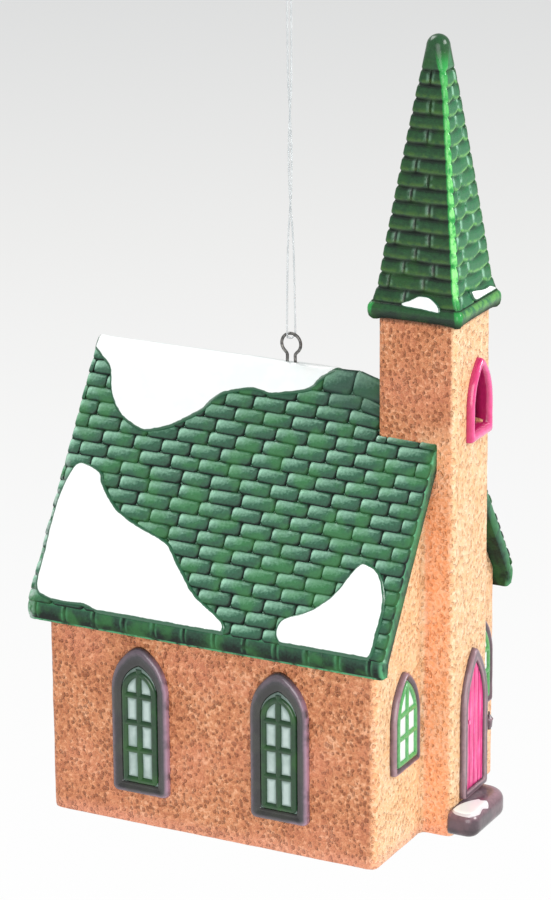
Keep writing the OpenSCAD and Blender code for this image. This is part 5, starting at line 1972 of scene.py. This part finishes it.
    def doorstep(self) -> None:
        """Builds the step with rolled edges and the snow on its left half."""
        low, high = self.step_heights
        r = self.step_roll
        # Third figures: relief, as painted light and shade: dark on the sides and foot, pale on the top, brightest on
        # its rolled top edge
        layers = [(low + r * (1 - cos(a)), r * (1 - sin(a)), 0.25) for a in np.linspace(0, QUARTER, 6)]
        layers += [(z, 0, 0.4) for z in np.linspace(low + r, high - r, 6)[1:-1]]
        for a in np.linspace(0, QUARTER, 7):
            layers.append((high - r + r * sin(a), r * (1 - cos(a)), 0.45 + 0.5 * sin(a)))
        layers += [(high - 0.03, 1.7, 0.75), (high - 0.08, 2.2, 0.6)]
        rings, relief = [], []
        for z, inset, shade in layers:
            plan = self.step_outline(inset)
            rings.append(level_ring(plan, z))
            relief.append(np.full(len(plan), shade))
        made("rolled_step", lofted(np.array(rings), {"relief": np.array(relief)}), "doorstep", STEP)
        shares = ((-0.43, 0.08), (-0.47, 0.45), (-0.45, 0.8), (-0.33, 0.93), (-0.2, 0.88), (-0.1, 0.95), (-0.02, 0.82),
                  (-0.04, 0.62), (-0.02, 0.5), (-0.12, 0.26), (-0.25, 0.1))
        loop = smooth_line(shares, 8, closed=True)
        middle, width = (self.step[0] + self.step[1]) / 2, self.step[1] - self.step[0]
        ahead = self.face - np.clip(loop[:, 1], 0.03, 0.95) * self.step_depth
        outline = tidy_outline(np.stack([middle + loop[:, 0] * width, ahead], 1), 0.16)

        def onto(flat: Array, height: Array) -> Array:
            """Lays places on the step's top, and down over its rounded edge."""
            edge = np.maximum(r - (flat[:, 1] - (self.face - self.step_depth)), 0)
            edge = np.clip(np.maximum(edge, r - (flat[:, 0] - self.step[0])), 0, r)
            drop = r - np.sqrt(np.maximum(r**2 - edge**2, 0))
            return np.stack([flat[:, 0], flat[:, 1], high - drop + height], 1)

        made("step_snow_pillow", snow_shape(outline, onto, 0.32, 0.25, 0.16, 0.4, 0.3), "doorstep_snow", STEP_SNOW)

    def belfry_frame(self) -> None:
        """Builds the belfry's heavy moulding, which lines the opening."""
        plane = self.plane(self.belfry_centre, self.belfry_foot)
        inner = self.belfry.inner(self.belfry_band, self.belfry_band * 1.5)
        profile = [(0, -0.25, 0.2), (0, 0.3, 0.4), (0.05, 0.8, 0.6), (0.2, 1.1, 0.75), (0.45, 1.18, 0.9),
                   (0.7, 1.05, 0.8), (0.9, 0.75, 0.55), (1, 0.3, 0.3), (1.03, -0.4, 0.5), (1.03, -2, 0.35),
                   (0.9, -2, 0)]
        made("belfry_moulding", banded(plane, self.belfry, inner, profile), "belfry_frame", BELFRY)


class Church:
    """The whole ornament."""

    def seams(self) -> Shape:
        """Returns the wiped slip in the corners between the nave's front and the tower."""
        lines, reach = RoofLines(), 0.75
        joined = None
        for side, x in ((-1, lines.tower[0]), (1, lines.tower[1])):
            top = lines.ridge - lines.thickness * hypot(1, lines.slope) - lines.slope * abs(x) - 0.3
            section = [(x - side * 0.3, 0.3), (x + side * reach, 0.3)]
            for a in np.linspace(0, QUARTER, 7):
                section.append((x + side * reach * (1 - sin(a)), -reach * (1 - cos(a))))
            section.append((x - side * 0.3, -reach))
            rings = np.array([[(px, py, z) for px, py in section] for z in np.linspace(0.25, top, 60)])
            shape = lofted(rings)
            joined = shape if joined is None else joined.joined(shape)
        return joined

    def build(self) -> None:
        """Builds every sub-assembly in order."""
        Hanging().build()
        softened("cast_nave", "nave_walls", 0.42, 3, 0.05, WALL)
        made("corner_seams", self.seams(), "nave_walls", WALL)
        softened("cast_tower", "tower_walls", 0.36, 3, 0.05, WALL)
        softened("cast_floor", "floor_plate", 0.42, 2, 0.04, CLAY)
        NaveRoof().build()
        RoofSnow().build()
        Spire().build()
        for window in self.windows():
            window.build()
        TowerFront().build()

    def windows(self) -> list[PointedWindow]:
        """Returns the six windows."""
        side = dict(width=10.0, height=25.2, foot=5.6, band=1.9, spring_share=0.68, rows=4, top_row_share=0.92,
                    bar=1.05, foot_radius=0.95, blunt=12)
        front = dict(width=9.0, height=16.1, foot=13.8, band=1.05, spring_share=0.5, rows=3, top_row_share=0.6)
        return [
            PointedWindow("left_front", WallSide.LEFT, 16.25, **side),
            PointedWindow("left_rear", WallSide.LEFT, 40.75, **side),
            PointedWindow("right_front", WallSide.RIGHT, 16.25, **side),
            PointedWindow("right_rear", WallSide.RIGHT, 40.75, **side),
            PointedWindow("front_left", WallSide.FRONT, -12.5, **front),
            PointedWindow("front_right", WallSide.FRONT, 15.1, **front),
        ]


def main() -> None:
    """Builds the camera, the studio and the ornament."""
    logging.basicConfig(level=logging.INFO)
    Photograph().build()
    Studio().build()
    Church().build()


if __name__ == "__main__":
    main()
